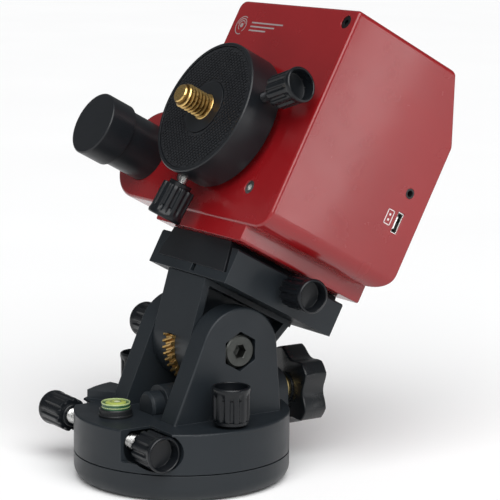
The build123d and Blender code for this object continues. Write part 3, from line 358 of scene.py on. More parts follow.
materials = {
    "black_casting": painted(
        "black_powder_coat", (0.0105, 0.0140, 0.0175), (0.0130, 0.0168, 0.0205),
        (0.040, 0.046, 0.052), 0.42, 0.0, 0.010, 0.006
    ),
    "base_casting": painted(
        "black_base_paint", (0.0115, 0.0148, 0.0180), (0.0138, 0.0172, 0.0205),
        (0.038, 0.044, 0.050), 0.42, 0.0, 0.008, 0.006
    ),
    "red_housing": painted(
        "red_gloss_paint", (0.220, 0.0058, 0.0082), (0.242, 0.0070, 0.0098),
        (0.34, 0.020, 0.024), 0.25, 0.35, 0.004, 0.001, 0.6, 0.45
    ),
    "rear_cover": painted(
        "red_cover_paint", (0.212, 0.0056, 0.0080), (0.235, 0.0068, 0.0095),
        (0.33, 0.020, 0.024), 0.26, 0.35, 0.004, 0.001, 0.6, 0.45
    ),
    "black_anodised": painted(
        "black_anodising", (0.0065, 0.0078, 0.0098), (0.0090, 0.0104, 0.0126),
        (0.030, 0.032, 0.036), 0.34, 0.0, 0.002, 0.003, 0.25, 0.35
    ),
    "knob_plastic": moulded(
        "knob_plastic", (0.0035, 0.0045, 0.0060), (0.0056, 0.0070, 0.0090), 0.30, 0.003, 0.33
    ),
    "star_plastic": moulded(
        "star_knob_plastic", (0.0045, 0.0058, 0.0072), (0.0066, 0.0082, 0.0100), 0.28, 0.004, 0.4
    ),
    "rubber_pad": moulded(
        "pad_rubber", (0.0105, 0.0115, 0.0138), (0.0150, 0.0164, 0.0190), 0.60, 0.010, 0.3, 0.04
    ),
    "steel": metal(
        "turned_steel", (0.60, 0.60, 0.59), (0.72, 0.72, 0.705), 0.30, (1, 6, 1), 0.001, 0
    ),
    "black_steel": metal("black_oxide_steel", (0.045, 0.046, 0.050), (0.07, 0.071, 0.075), 0.38),
    "stud_brass": metal(
        "stud_brass", (0.62, 0.40, 0.13), (0.76, 0.52, 0.20), 0.30, (1, 1, 3), 0.0004, 0
    ),
    "gear_brass": metal(
        "gear_brass", (0.42, 0.26, 0.09), (0.60, 0.40, 0.15), 0.36, (1, 4, 1)
    ),
    "vial": glassy("vial_fluid", (0.38, 0.46, 0.09), (0.48, 0.56, 0.13), 0.08, 0.15),
    "cup_plastic": moulded(
        "level_cup_plastic", (0.008, 0.009, 0.010), (0.012, 0.013, 0.0145), 0.33, 0.004
    ),
    "glide_plastic": moulded(
        "glide_acetal", (0.70, 0.69, 0.65), (0.78, 0.77, 0.73), 0.45, 0.004
    ),
    "lens_glass": glassy("lens_glass", (0.72, 0.80, 0.90), (0.80, 0.88, 0.96), 0.02, 0.95, 1.52),
    "pcb": moulded("board_mask", (0.012, 0.13, 0.045), (0.02, 0.19, 0.07), 0.35, 0.006, 0.5),
    "battery": metal(
        "battery_foil", (0.30, 0.31, 0.33), (0.42, 0.43, 0.45), 0.42, (1, 1, 1), 0.02
    ),
    "socket_metal": metal(
        "socket_shell", (0.66, 0.66, 0.64), (0.76, 0.76, 0.74), 0.24, (5, 1, 1)
    ),
    "socket_plastic": moulded(
        "socket_body", (0.012, 0.012, 0.013), (0.02, 0.02, 0.021), 0.4, 0.004
    ),
    "button_plastic": moulded(
        "button_cap", (0.022, 0.022, 0.024), (0.032, 0.032, 0.035), 0.3, 0.003
    ),
}
bolt_steel = metal("dark_bolt_steel", (0.060, 0.063, 0.060), (0.085, 0.088, 0.083), 0.42)
# a lighter copy of the brass for the rear bush: painted light, brighter than the shade it sits in
lit_bush_brass = metal("lit_bush_brass", (0.82, 0.64, 0.28), (0.92, 0.74, 0.36), 0.5, (1, 4, 1), 0.001)
# nodes whose material differs from the rest of their slot
special = {
    "altitude_bolt": bolt_steel,
    "worm_rear_bush": lit_bush_brass,
    # the lock screws are black oxide steel; their darkness is also painted shade under their knobs
    "right_azimuth_lock_screw": materials["black_steel"],
    "left_azimuth_lock_screw": materials["black_steel"],
}
slot_of = {part["node"]: part["material_slot"] for part in frame["record"]["subparts"]}
for name, node in nodes.items():
    node.data.materials.clear()
    node.data.materials.append(special.get(name) or materials[slot_of[name]])

# the screw at the top right lies deep in its hole; its faces get black steel as painted shade of the hole
DEEP_SCREW_X, DEEP_SCREW_Z = 30.0, 150.0
front_screws = nodes["front_screws"].data
front_screws.materials.append(materials["black_steel"])
for polygon in front_screws.polygons:
    x, _, z = polygon.center / MM
    if x > DEEP_SCREW_X and z > DEEP_SCREW_Z:
        polygon.material_index = 1


def piece(name, mesh_data, place, body, slot, stands_for=(), material=None, smooth_angle=35):
    """A detail piece that rides on a body, and may stand for CAD nodes."""
    thing = as_object(name, mesh_data, material or materials[slot], place, smooth_angle)
    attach(thing, body)
    if stands_for:
        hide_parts(*stands_for)
    return thing


def along(node, origin, axis):
    """A CAD node's first and last place along an axis, and its largest radius, in mm."""
    places, radii = [], []
    for vertex in nodes[node].data.vertices:
        offset = vertex.co / MM - origin
        place = offset.dot(axis)
        places.append(place)
        radii.append((offset - axis * place).length)
    return min(places), max(places), max(radii)


def beside(axis):
    """A direction well away from an axis, for a local frame's X."""
    return Vector((0, 1, 0)) if abs(axis.y) < 0.9 else Vector((1, 0, 0))


# ------------------------------------------------------------------ thumb knobs

KNOB_FLUTES, FLUTE_SEGMENTS = 12, 16
FLUTE_DEPTH, FLUTE_STEPS = 0.72, 9
FLUTE_SIDE = (0.62, 0.97)  # where a flute's side starts and ends, from crest to valley
FLARE_FROM = 0.84  # share of the flutes' length at which the body widens to the rim
BODY_SHARE, NARROW_COLLAR, WIDE_COLLAR = 0.965, 0.66, 0.9
RIM_WIDTH, RIM_LIP, RIM_ROUND, HOLLOW_DEPTH, WEB = 1.9, 0.95, 0.75, 5.0, 0.8
M4_HOLE, M6_HOLE, M8_HOLE = 2.02, 3.02, 4.02


def thumb_knob(radius, length, collar, screw_r, collar_share):
    """Knob with a collar, broad flutes that run out under a flared rim, and a hollow end."""
    body = radius * BODY_SHARE
    rim = length - RIM_WIDTH
    floor = length - HOLLOW_DEPTH
    bore_end = floor - WEB

    def fluted(at, share):
        def shape(angle):
            valley = smooth_step(*FLUTE_SIDE, abs(cos(KNOB_FLUTES / 2 * angle)))
            return at - FLUTE_DEPTH * share * valley
        return shape

    start = radius * collar_share
    rows = [(screw_r, bore_end), (screw_r, 0), (start - 0.3, 0), (start, 0.3), (start, collar)]
    rows += [(fluted(body - 0.6, 0.5), collar), (fluted(body - 0.2, 0.9), collar + 0.12)]
    rows += [(fluted(body, 1.0), collar + 0.5)]
    for i in range(1, FLUTE_STEPS + 1):
        t = i / FLUTE_STEPS
        z = collar + 0.5 + (rim - 0.2 - collar - 0.5) * t
        flare = smooth_step(FLARE_FROM, 1.0, t)
        rows.append((fluted(body + (radius - body - 0.15) * flare, 1.0 - flare), z))
    rows += [(radius - 0.06, rim + 0.15), (radius, rim + 0.5)]
    for c, s in quarter(4):
        rows.append((radius - RIM_ROUND + RIM_ROUND * c, length - RIM_ROUND + RIM_ROUND * s))
    inner = radius - RIM_LIP
    rows += [(inner + 0.25, length), (inner, length - 0.25), (inner, floor + 0.4)]
    rows += [(inner - 0.12, floor + 0.12), (inner - 0.4, floor)]
    rings = [round_ring(z, KNOB_FLUTES * FLUTE_SEGMENTS, r) for r, z in rows]
    return ring_stack([[(0, 0, bore_end)], *rings, [(0, 0, floor - 0.15)]])


# knob: body, joint, collar's length, hole's radius, way along the joint's axis, collar's width
THUMB_KNOBS = {
    "right_azimuth_adjust_knob":
        ("right_adjust_grip", "right_adjust_spin", 1.7, M6_HOLE, 1, NARROW_COLLAR),
    "left_azimuth_adjust_knob":
        ("left_adjust_grip", "left_adjust_spin", 1.5, M6_HOLE, -1, NARROW_COLLAR),
    "right_azimuth_lock_knob":
        ("right_azimuth_lock", "right_azimuth_lock_turn", 1.3, M6_HOLE, 1, WIDE_COLLAR),
    "left_azimuth_lock_knob":
        ("left_azimuth_lock", "left_azimuth_lock_turn", 1.3, M6_HOLE, 1, WIDE_COLLAR),
    "saddle_clamp_knob":
        ("saddle_clamp_grip", "saddle_clamp_spin", 1.4, M6_HOLE, 1, NARROW_COLLAR),
    "right_disc_clamp_knob":
        ("right_disc_clamp_grip", "right_disc_clamp_spin", 1.6, M4_HOLE, 1, NARROW_COLLAR),
    "lower_disc_clamp_knob":
        ("lower_disc_clamp_grip", "lower_disc_clamp_spin", 1.6, M4_HOLE, 1, NARROW_COLLAR),
    "altitude_lock_knob":
        ("altitude_lock", "altitude_lock_turn", 9.0, M8_HOLE, 1, NARROW_COLLAR),
}
for node, (body, joint, collar, hole_r, way, collar_share) in THUMB_KNOBS.items():
    axis = Vector(joints[joint]["axis"]).normalized() * way
    origin = Vector(joints[joint]["pos_m"]) / MM
    first, last, radius = along(node, origin, axis)
    mesh_data = thumb_knob(radius, last - first, collar, hole_r, collar_share)
    place = stand(origin + axis * first, axis, beside(axis))
    piece(node + "_moulding", mesh_data, place, body, "knob_plastic", (node,), smooth_angle=42)

# ------------------------------------------------------------------ altitude bolt

UNCUT = 20.0  # a circle too wide to cut a hexagon's corners
BOLT_ACROSS, BOLT_CORNER_R, BOLT_HEAD, BOLT_SHANK_R, BOLT_TIP = 12.1, 6.9, 5.1, 4.0, 0.4
SOCKET_ACROSS, SOCKET_DEPTH, SOCKET_CONE = 4.6, 4.5, 0.8


def bolt_outline(across_flats, circle):
    """Hexagon with its corners cut by a circle."""
    def shape(angle):
        from_flat = (angle + pi / 6) % (pi / 3) - pi / 6
        return min(across_flats / 2 / cos(from_flat), circle)
    return shape


bolt_first, bolt_last, _ = along("altitude_bolt", altitude_centre, across)
bolt_base, bolt_tip = bolt_last - BOLT_HEAD, bolt_first + BOLT_TIP
socket = bolt_outline(SOCKET_ACROSS, UNCUT)
bolt_rows = [(BOLT_SHANK_R, bolt_tip), (BOLT_SHANK_R, bolt_base)]
bolt_rows.append((bolt_outline(BOLT_ACROSS, UNCUT), bolt_base))
for i in range(5):
    corner_cut = bolt_outline(BOLT_ACROSS, BOLT_CORNER_R - 0.3 * i)
    bolt_rows.append((corner_cut, bolt_last - 1.15 + 0.2 * i))
bolt_rows += [(5.5, bolt_last - 0.05), (5.3, bolt_last), (SOCKET_ACROSS * 0.66, bolt_last)]
bolt_rows += [(socket, bolt_last - 0.3), (socket, bolt_last - SOCKET_DEPTH)]
bolt_rings = [round_ring(z, 96, r) for r, z in bolt_rows]
bolt_end = bolt_last - SOCKET_DEPTH - SOCKET_CONE
piece(
    "altitude_bolt_turned",
    ring_stack([[(0, 0, bolt_tip)], *bolt_rings, [(0, 0, bolt_end)]]),
    stand(altitude_centre, across, UP),
    "azimuth_yoke", "steel", ("altitude_bolt",), bolt_steel,
)

# ------------------------------------------------------------------ star knob

STAR_LOBES, STAR_CORE, STAR_EDGE, STAR_DISH = 5, 12.0, 0.75, 0.5
STAR_HUB, STAR_HOLE_R = 0.8, 2.62


def star_knob(core, reach, depth):
    """Five rounded lobes with soft edges, a hub in front and a shallow dish behind."""
    def outline(inset):
        def shape(angle):
            lobe = min(1.0, 1.22 * (0.5 + 0.5 * cos(STAR_LOBES * angle)) ** 1.15)
            return core + (reach - core) * lobe - inset
        return shape

    edge = STAR_EDGE
    rows = [(STAR_HOLE_R, 1.0), (STAR_HOLE_R, -STAR_HUB)]
    rows += [(5.6, -STAR_HUB), (6.0, -0.5), (6.0, 0.0)]
    rows += [(outline(edge - edge * s), edge - edge * c) for c, s in quarter(5)]
    rows += [(outline(edge - edge * c), depth - edge + edge * s) for c, s in quarter(5)]
    floor = depth - STAR_DISH
    rows += [(7.0, depth), (6.6, floor), (3.4, floor)]
    rings = [round_ring(z, 160, r) for r, z in rows]
    return ring_stack([[(0, 0, 1.0)], *rings, [(0, 0, floor)]])


back = Vector((0, 1, 0))
star_first, star_last, star_reach = along("star_knob", altitude_worm_centre, back)
star_depth = star_last - star_first - STAR_HUB
piece(
    "star_knob_moulding",
    star_knob(STAR_CORE, star_reach - 0.02, star_depth),
    stand(altitude_worm_centre + back * (star_first + STAR_HUB), back, -across),
    "altitude_worm_shaft", "star_plastic", ("star_knob",),
)

# ------------------------------------------------------------------ threads and teeth

THREAD_CREST, THREAD_FLANK = 0.12, 0.32  # shares of a pitch
THREAD_STEPS = 16


def thread_height(phase):
    """Share of a thread's height across one pitch, with flats at crest and root."""
    t = phase % 1.0
    if t < THREAD_CREST:
        return 1.0
    if t < THREAD_CREST + THREAD_FLANK:
        return 1.0 - (t - THREAD_CREST) / THREAD_FLANK
    return max(0.0, (t - 1.0 + THREAD_FLANK) / THREAD_FLANK)


def threaded_rod(root, crest, pitch, start, end, limit, segments=72):
    """Right-hand helical thread along Z; limit(z) is the largest radius allowed at a height."""
    rows = ceil((end - start) / pitch * THREAD_STEPS)
    points = []
    for row in range(-THREAD_STEPS, rows + 1):
        thread = root + (crest - root) * thread_height(row / THREAD_STEPS)
        for i in range(segments):
            angle = tau * i / segments
            z = start + pitch * (row / THREAD_STEPS + i / segments)
            z = min(max(z, start), end)
            radius = min(thread, limit(z))
            points.append((radius * cos(angle), radius * sin(angle), z))
    last = rows + THREAD_STEPS
    faces = []
    for row in range(last):
        turned, turned_high = min(row + THREAD_STEPS, last), min(row + 1 + THREAD_STEPS, last)
        for i in range(segments):
            low, high = row * segments + i, (row + 1) * segments + i
            if i < segments - 1:
                faces.append((low, low + 1, high + 1, high))
            else:
                faces.append((low, turned * segments, turned_high * segments, high))
    faces.append(tuple(reversed(range(segments))))
    faces.append(tuple(range(last * segments, (last + 1) * segments)))
    return points, faces


STUD_PITCH = 1.5875  # 3/8-16
STUD_ROOT_R, STUD_R, STUD_TIP, STUD_TIP_SLOPE = 3.66, 4.7, 2.2, 0.68
STUD_FLANGE, STUD_NECK_R = 2.5, 5.2
VALLEY_R = (3.5, 4.15)
FINE = (1, 1, 3)  # stretch of the brass's tool marks
stud_first, stud_last, flange_r = along("camera_stud", face_centre, polar_axis)
tip_start, flange_end = stud_last - STUD_TIP, stud_first + STUD_FLANGE


def stud_limit(z):
    """The stud's chamfered tip."""
    return STUD_R - max(0.0, z - tip_start) * STUD_TIP_SLOPE


stud_thread = threaded_rod(STUD_ROOT_R, STUD_R, STUD_PITCH, -0.01, stud_last, stud_limit)
stud_shoulder = lathe([
    (0, stud_first), (flange_r, stud_first), (flange_r, flange_end), (STUD_NECK_R, flange_end),
    (STUD_NECK_R, -0.3), (4.9, 0.0), (0, 0.0),
])
stud = piece(
    "camera_stud_thread", merge(stud_thread, stud_shoulder),
    stand(face_centre, polar_axis, across),
    "camera_plate", "stud_brass", ("camera_stud",), smooth_angle=50,
)
# the thread's valleys get darker brass, as painted shade
stud.data.materials.append(metal(
    "valley_shade_brass", (0.13, 0.070, 0.018), (0.20, 0.115, 0.032), 0.45, FINE, 0.0004, 0
))
for polygon in stud.data.polygons:
    offset = polygon.center / MM - face_centre
    radius = (offset - polar_axis * offset.dot(polar_axis)).length
    if VALLEY_R[0] < radius < VALLEY_R[1]:
        polygon.material_index = 1

SCREW_TIP, SCREW_TIP_SLOPE, SCREW_DEPTH = 0.6, 0.9, 0.6  # the depth is a share of the pitch


def threaded_screw(node, body, joint, way, crest, pitch, material=None):
    """Clamp or adjusting screw with a chamfered helical thread, in place of its CAD rod."""
    axis = Vector(joints[joint]["axis"]).normalized() * way
    origin = Vector(joints[joint]["pos_m"]) / MM
    first, last, _ = along(node, origin, axis)

    def limit(z):
        return crest - max(0.0, SCREW_TIP - z) * SCREW_TIP_SLOPE

    root = crest - SCREW_DEPTH * pitch
    rod = threaded_rod(root, crest - 0.01, pitch, 0.0, last - first, limit, 48)
    place = stand(origin + axis * first, axis, beside(axis))
    piece(node + "_thread", rod, place, body, "steel", (node,), material, smooth_angle=50)


M6, M4 = (3.0, 1.0), (2.0, 0.7)  # crest radius and pitch
for side, way in (("right", 1), ("left", -1)):
    threaded_screw(
        side + "_azimuth_adjust_screw", side + "_adjust_travel", side + "_adjust_spin", way, *M6
    )
# the right clamp screw is black steel as painted shade, for its shank sits in shadow between the disc and its knob
for side, finish in (("right", materials["black_steel"]), ("lower", None)):
    clamp = side + "_disc_clamp"
    threaded_screw(clamp + "_screw", clamp + "_travel", clamp + "_spin", 1, *M4, finish)

ALTITUDE_WORM_ROOT, ALTITUDE_WORM_PITCH, ALTITUDE_SHAFT_R = 3.1, 2.4, 2.6
RA_WORM_ROOT, RA_WORM_PITCH, RA_SHAFT_R, RA_THREAD_HALF = 2.6, 1.8, 2.2, 8.1


def worm(shaft_r, first, last, root, crest, pitch, thread_first, thread_last):
    """Shaft with a stretch of helical thread on it."""
    shaft = lathe([(0, first), (shaft_r, first), (shaft_r, last), (0, last)])
    thread = threaded_rod(root, crest, pitch, thread_first, thread_last, lambda z: crest)
    return merge(shaft, thread)


worm_axis = Vector((0, -1, 0))
worm_first, worm_last, worm_crest = along("altitude_worm", altitude_worm_centre, worm_axis)
thread_first, thread_last = altitude_worm_centre.y - 21.9, altitude_worm_centre.y - 0.3
piece(
    "altitude_worm_thread",
    worm(ALTITUDE_SHAFT_R, worm_first, worm_last, ALTITUDE_WORM_ROOT, worm_crest,
         ALTITUDE_WORM_PITCH, thread_first, thread_last),
    stand(altitude_worm_centre, worm_axis, across),
    "altitude_worm_shaft", "gear_brass", ("altitude_worm",), smooth_angle=50,
)

ra_worm_centre = Vector(joints["ra_worm_spin"]["pos_m"]) / MM
ra_first, ra_last, ra_crest = along("ra_worm", ra_worm_centre, across)
piece(
    "ra_worm_thread",
    worm(RA_SHAFT_R, ra_first, ra_last, RA_WORM_ROOT, ra_crest, RA_WORM_PITCH,
         -RA_THREAD_HALF, RA_THREAD_HALF),
    stand(ra_worm_centre, across, polar_axis),
    "ra_worm_shaft", "steel", ("ra_worm",), smooth_angle=50,
)

SECTOR_TEETH = 43
SECTOR_FIRST, SECTOR_LAST = 166.0, 332.0  # degrees round the altitude axis
SECTOR_INNER_R, SECTOR_R, SECTOR_HALF, SECTOR_STEPS = 7.0, 17.6, 3.0, 10
TOOTH_DEPTH, TOOTH_STEPS, TOOTH_SIDE, THROAT = 1.45, 14, (0.32, 0.72), 0.55
HELIX_SHIFT = 0.16  # turn of the teeth across the sector's width, in pitches per mm


def worm_sector(inner, outer, half):
    """Toothed sector with slanted, throated teeth; X is the sector's width."""
    pitch = 360.0 / SECTOR_TEETH
    count = ceil((SECTOR_LAST - SECTOR_FIRST) / pitch * TOOTH_STEPS)
    rings = []
    for row in range(count + 1):
        degrees = SECTOR_FIRST + (SECTOR_LAST - SECTOR_FIRST) * row / count
        angle = radians(degrees)
        ring = [(-half, inner), (half, inner)]
        for i in range(SECTOR_STEPS + 1):
            x = half - 2 * half * i / SECTOR_STEPS
            wave = 0.5 + 0.5 * cos(tau * (degrees / pitch + x * HELIX_SHIFT))
            throat = THROAT * (1 - (x / half) ** 2)
            gap = smooth_step(*TOOTH_SIDE, wave)
            ring.append((x, outer - throat - TOOTH_DEPTH * gap))
        rings.append([(x, r * cos(angle), r * sin(angle)) for x, r in ring])
    return ring_stack(rings)


piece(
    "altitude_worm_sector_teeth",
    worm_sector(SECTOR_INNER_R, SECTOR_R, SECTOR_HALF),
    Matrix.Scale(MM, 4) @ Matrix.Translation(altitude_centre),
    "altitude_head", "gear_brass", ("altitude_worm_sector",), smooth_angle=40,
)

# ------------------------------------------------------------------ camera disc's pad

PIP_PITCH, PIP_HALF, PIP_HEIGHT, PIP_TAPER, PIP_MARGIN = 1.38, 0.47, 0.6, 0.12, 0.35
PAD_HOLE_R = 10.25


def pad_with_pips(inner, outer, thickness):
    """Rubber ring with a square grid of small pips; its front is at Z = 0."""
    deck = -PIP_HEIGHT
    parts = [lathe_ring(inner, outer, -thickness, deck)]
    reach = int(outer / PIP_PITCH) + 1
    for i in range(-reach, reach + 1):
        for j in range(-reach, reach + 1):
            x, y = (i + 0.5) * PIP_PITCH, (j + 0.5) * PIP_PITCH
            corner = hypot(abs(x) + PIP_HALF, abs(y) + PIP_HALF)
            near = hypot(max(abs(x) - PIP_HALF, 0), max(abs(y) - PIP_HALF, 0))
            if corner < outer - PIP_MARGIN and near > inner + PIP_MARGIN:
                low = (x - PIP_HALF, y - PIP_HALF, deck - 0.05)
                high = (x + PIP_HALF, y + PIP_HALF, 0.0)
                parts.append(block(low, high, PIP_TAPER))
    points, faces = merge(*parts)
    half = sqrt(0.5)
    return [((x - y) * half, (x + y) * half, z) for x, y, z in points], faces


pad_back, pad_front, pad_r = along("disc_pad", face_centre, polar_axis)
piece(
    "disc_pad_pips",
    pad_with_pips(PAD_HOLE_R, pad_r, pad_front - pad_back),
    stand(face_centre + polar_axis * pad_front, polar_axis, across),
    "camera_plate", "rubber_pad", ("disc_pad",),
)

# ------------------------------------------------------------------ bubble level

vial_low, vial_high = (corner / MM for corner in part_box("level_vial"))
vial_middle = (vial_low + vial_high) / 2
vial_centre = Vector((vial_middle.x, vial_middle.y, vial_low.z))
vial_r = (vial_high.x - vial_low.x) / 2
top = vial_high.z - vial_low.z
shoulder = top - 2.4
core_r = 3.8
vial_place = stand(vial_centre, UP, across)
clear_rim = glassy("vial_clear_rim", (0.020, 0.075, 0.035), (0.035, 0.115, 0.05), 0.10, 0.15)
pale_highlight_rim = glassy("vial_highlight_rim", (0.42, 0.52, 0.22), (0.52, 0.62, 0.30), 0.12, 0.15)
bubble_shine = glassy("vial_bubble", (0.86, 0.95, 0.55), (0.93, 0.98, 0.70), 0.05, 0.35)
ring_ink = moulded("vial_ring_ink", (0.010, 0.030, 0.008), (0.016, 0.040, 0.012), 0.3, 0.001)


def vial_piece(name, mesh_data, place=vial_place, stands_for=(), material=None):
    """A detail of the level's vial."""
    piece("level_vial_" + name, mesh_data, place, "azimuth_yoke", "vial", stands_for, material)


foot_r = vial_r - 0.65
vial_piece("fluid", lathe([
    (0, 0), (foot_r, 0), (foot_r, shoulder), (core_r, shoulder), (core_r, top - 0.35),
    (3.3, top - 0.12), (2.2, top - 0.04), (0, top - 0.02),
]), stands_for=("level_vial",))
# a clear wall, and two lips that stand a little proud of it, coloured pale as painted highlights on the rim's
# ridges
lip_inner, lip_r = vial_r - 0.35, vial_r - 0.05 + 0.04
for name, inner, outer, low, high, finish in (
    ("wall", core_r - 0.02, vial_r - 0.05, shoulder, top - 0.65, clear_rim),
    ("lip", lip_inner, lip_r, top - 0.65, top - 0.15, pale_highlight_rim),
    ("lower_lip", lip_inner, lip_r, shoulder + 0.55, shoulder + 0.85, pale_highlight_rim),
):
    vial_piece(name, lathe_ring(inner, outer, low, high, 96, 0.1), material=finish)

CUP_FOOT_R, CUP_R, CUP_STEP = 6.25, 6.02, 0.75
cup_low, cup_high = (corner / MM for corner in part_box("level_cup"))
cup_height = cup_high.z - cup_low.z
piece(
    "level_cup_turned",
    lathe([
        (0, 0), (6.2, 0), (CUP_FOOT_R, 0.1), (CUP_FOOT_R, CUP_STEP), (CUP_R, CUP_STEP + 0.2),
        (CUP_R, cup_height - 0.3), (5.75, cup_height), (0, cup_height),
    ], 96),
    stand(Vector((vial_centre.x, vial_centre.y, cup_low.z)), UP, across),
    "azimuth_yoke", "cup_plastic", ("level_cup",),
)
vial_piece("ring", lathe_ring(1.75, 2.05, top - 0.10, top - 0.005, 72, 0.03), material=ring_ink)
bubble_shift = Vector((0.4, 0.3, 0))
vial_piece("bubble", lathe([
    (0, top - 0.30), (1.2, top - 0.25), (1.45, top - 0.10), (1.2, top - 0.03), (0, top - 0.001),
]), stand(vial_centre + bubble_shift, UP, across), material=bubble_shine)

# ------------------------------------------------------------------ printing on the head

INK = 0.03  # half the thickness of the print, which is half sunk into the paint
FRONT_DEPTH, SIDE_X = 17.0, 43.0  # the head's front and side faces
grey_ink = moulded("grey_ink", (0.26, 0.22, 0.22), (0.34, 0.29, 0.29), 0.45, 0.002, 0.3, 0.01)
pale_ink = moulded("pale_ink", (0.60, 0.55, 0.55), (0.72, 0.67, 0.67), 0.45, 0.002, 0.3, 0.01)


def arc_band(radius, width, first, last, low, high, steps=40):
    """Flat curved stroke round the origin, as a thin solid."""
    rings = []
    for i in range(steps + 1):
        angle = radians(first + (last - first) * i / steps)
        outer = radius + width
        section = ((radius, low), (outer, low), (outer, high), (radius, high))
        rings.append([(r * cos(angle), r * sin(angle), z) for r, z in section])
    return ring_stack(rings)


# a pole star with star trails round it, and three trailing strokes
STAR_AT, STAR_R, TRAIL_WIDTH = (-26.6, 39.7), 0.95, 0.38
TRAILS = ((1.7, 20, 250), (2.6, -60, 170), (3.5, 60, 290))  # radius, first and last degree
STROKES = ((41.2, 0.2), (39.6, -4.6), (38.0, -9.4))  # height, right end
STROKES_FROM, STROKE_HALF = -20.6, 0.3
star = lathe([(0, -INK), (STAR_R, -INK), (STAR_R, INK), (0, INK)], 32)
trails = [arc_band(radius, TRAIL_WIDTH, first, last, -INK, INK) for radius, first, last in TRAILS]
emblem = [shifted(merge(star, *trails), *STAR_AT)]
for height, end in STROKES:
    low, high = (STROKES_FROM, height - STROKE_HALF, -INK), (end, height + STROKE_HALF, INK)
    emblem.append(block(low, high))
front_at = face_centre - polar_axis * FRONT_DEPTH
piece(
    "front_emblem", merge(*emblem), stand(front_at, polar_axis, across),
    "tracker", "red_housing", material=grey_ink,
)

# a socket symbol beside the cable opening: an outlined port with two contacts
PORT_LOW, PORT_HIGH, PORT_LINE = (63.6, -12.4), (66.8, -6.6), 0.35
CONTACT_X, CONTACTS_Y, CONTACT = 64.8, (-10.9, -8.9), 0.8
(left, low), (right_end, high) = PORT_LOW, PORT_HIGH
rectangles = [
    (left, low, left + PORT_LINE, high), (right_end - PORT_LINE, low, right_end, high),
    (left, low, right_end, low + PORT_LINE), (left, high - PORT_LINE, right_end, high),
]
rectangles += [(CONTACT_X, y, CONTACT_X + CONTACT, y + CONTACT) for y in CONTACTS_Y]
port = [block((x0, y0, -INK), (x1, y1, INK)) for x0, y0, x1, y1 in rectangles]
side_at = face_centre + across * SIDE_X
piece(
    "port_symbol", merge(*port), stand(side_at, across, -polar_axis),
    "tracker", "red_housing", material=pale_ink,
)

# ------------------------------------------------------------------ floor, light and camera


def soft_light(name, position, target, size, power):
    """Rectangular light that faces a point; places and sizes in mm."""
    light = bpy.data.lights.new(name, "AREA")
    light.shape = "RECTANGLE"
    light.size, light.size_y = size[0] * MM, size[1] * MM
    light.energy = power
    holder = bpy.data.objects.new(name, light)
    bpy.context.scene.collection.objects.link(holder)
    aim = Vector(target) - Vector(position)
    holder.rotation_mode = "QUATERNION"
    holder.rotation_quaternion = aim.to_track_quat("-Z", "Y")
    holder.location = Vector(position) * MM
    holder.visible_camera = False
    return holder


FLOOR_HALF, FLOOR_Z = 6000.0, -0.05
floor_finish = Finish("pale_floor")
floor_clouds = floor_finish.ramp(floor_finish.noise(3, 2), *WIDE)
floor_finish.tint(floor_clouds, (0.96, 0.96, 0.96), (0.975, 0.975, 0.975))
floor_finish.roughness(floor_finish.noise(9, 2), 0.85, 0.95)
floor_corners = [(x * FLOOR_HALF, y * FLOOR_HALF, FLOOR_Z) for x, y in
                 ((-1, -1), (1, -1), (1, 1), (-1, 1))]
floor = as_object(
    "floor", (floor_corners, [(0, 1, 2, 3)]), floor_finish.material, Matrix.Scale(MM, 4)
)

# the backdrop is white to the camera alone; the light that it gives the object is weak
AMBIENT = 0.17
world = bpy.data.worlds.new("studio")
bpy.context.scene.world = world
world.use_nodes = True
tree = world.node_tree
ambient = tree.nodes["Background"]
ambient.inputs["Color"].default_value = (0.96, 0.98, 1.0, 1)
ambient.inputs["Strength"].default_value = AMBIENT
backdrop = tree.nodes.new("ShaderNodeBackground")
backdrop.inputs["Color"].default_value = (1, 1, 1, 1)
chooser = tree.nodes.new("ShaderNodeMixShader")
ray = tree.nodes.new("ShaderNodeLightPath")
tree.links.new(ray.outputs["Is Camera Ray"], chooser.inputs[0])
tree.links.new(ambient.outputs[0], chooser.inputs[1])
tree.links.new(backdrop.outputs[0], chooser.inputs[2])
tree.links.new(chooser.outputs[0], tree.nodes["World Output"].inputs["Surface"])
# the default view transform would grey out the reds and blacks
bpy.context.scene.view_settings.view_transform = "Standard"

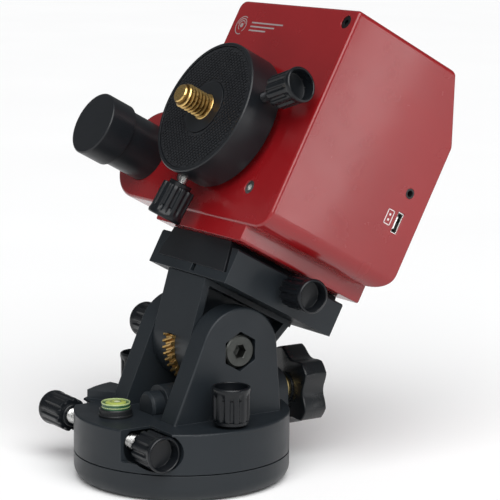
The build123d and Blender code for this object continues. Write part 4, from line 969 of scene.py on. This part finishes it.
SUN_ENERGY, SUN_SPREAD, SUN_WAY = 3.7, radians(65), Vector((-0.60, 0.26, -0.75))
sun = bpy.data.lights.new("overhead_bank", "SUN")
sun.energy = SUN_ENERGY
sun.angle = SUN_SPREAD
sun_holder = bpy.data.objects.new("overhead_bank", sun)
bpy.context.scene.collection.objects.link(sun_holder)
sun_holder.rotation_mode = "QUATERNION"
sun_holder.rotation_quaternion = SUN_WAY.to_track_quat("-Z", "Y")
soft_light("front_panel", (250, -800, 420), (10, 20, 80), (400, 400), 0.5)

# the photograph's view
LENS, SENSOR, FARTHEST, CAMERA_DISTANCE = 150.14, 36.0, 20.0, 760.0
CAMERA_TARGET = Vector((16.1, 19.0, 85.1))
backwards = Vector((0.8231, -0.5424, 0.1684)).normalized()
right = Vector((0.5490, 0.8358, 0.0091))
right = (right - backwards * right.dot(backwards)).normalized()
upwards = backwards.cross(right)
camera_data = bpy.data.cameras.new("camera")
camera_data.lens = LENS
camera_data.sensor_width = SENSOR
camera_data.clip_end = FARTHEST
camera = bpy.data.objects.new("camera", camera_data)
bpy.context.scene.collection.objects.link(camera)
camera_place = Matrix.Translation((CAMERA_TARGET + backwards * CAMERA_DISTANCE) * MM)
camera_axes = Matrix((right, upwards, backwards)).transposed().to_4x4()
camera.matrix_world = camera_place @ camera_axes
bpy.context.scene.camera = camera

# a slim strip beside the object, which the flat side of the head mirrors as a lighter band
STRIP_DISTANCE, STRIP_SIZE, STRIP_POWER = 400, (36, 240), 0.10
side_spot = head_point(SIDE_X, 31, 10)
view_way = (camera.location / MM - side_spot).normalized()
mirrored = Vector((view_way.x, -view_way.y, -view_way.z))
strip_at = side_spot + mirrored * STRIP_DISTANCE
strip = soft_light("side_strip", strip_at, side_spot, STRIP_SIZE, STRIP_POWER)
strip_x = (polar_axis - mirrored * polar_axis.dot(mirrored)).normalized()
strip_axes = Matrix((strip_x, mirrored.cross(strip_x), mirrored)).transposed()
strip.rotation_quaternion = strip_axes.to_quaternion()
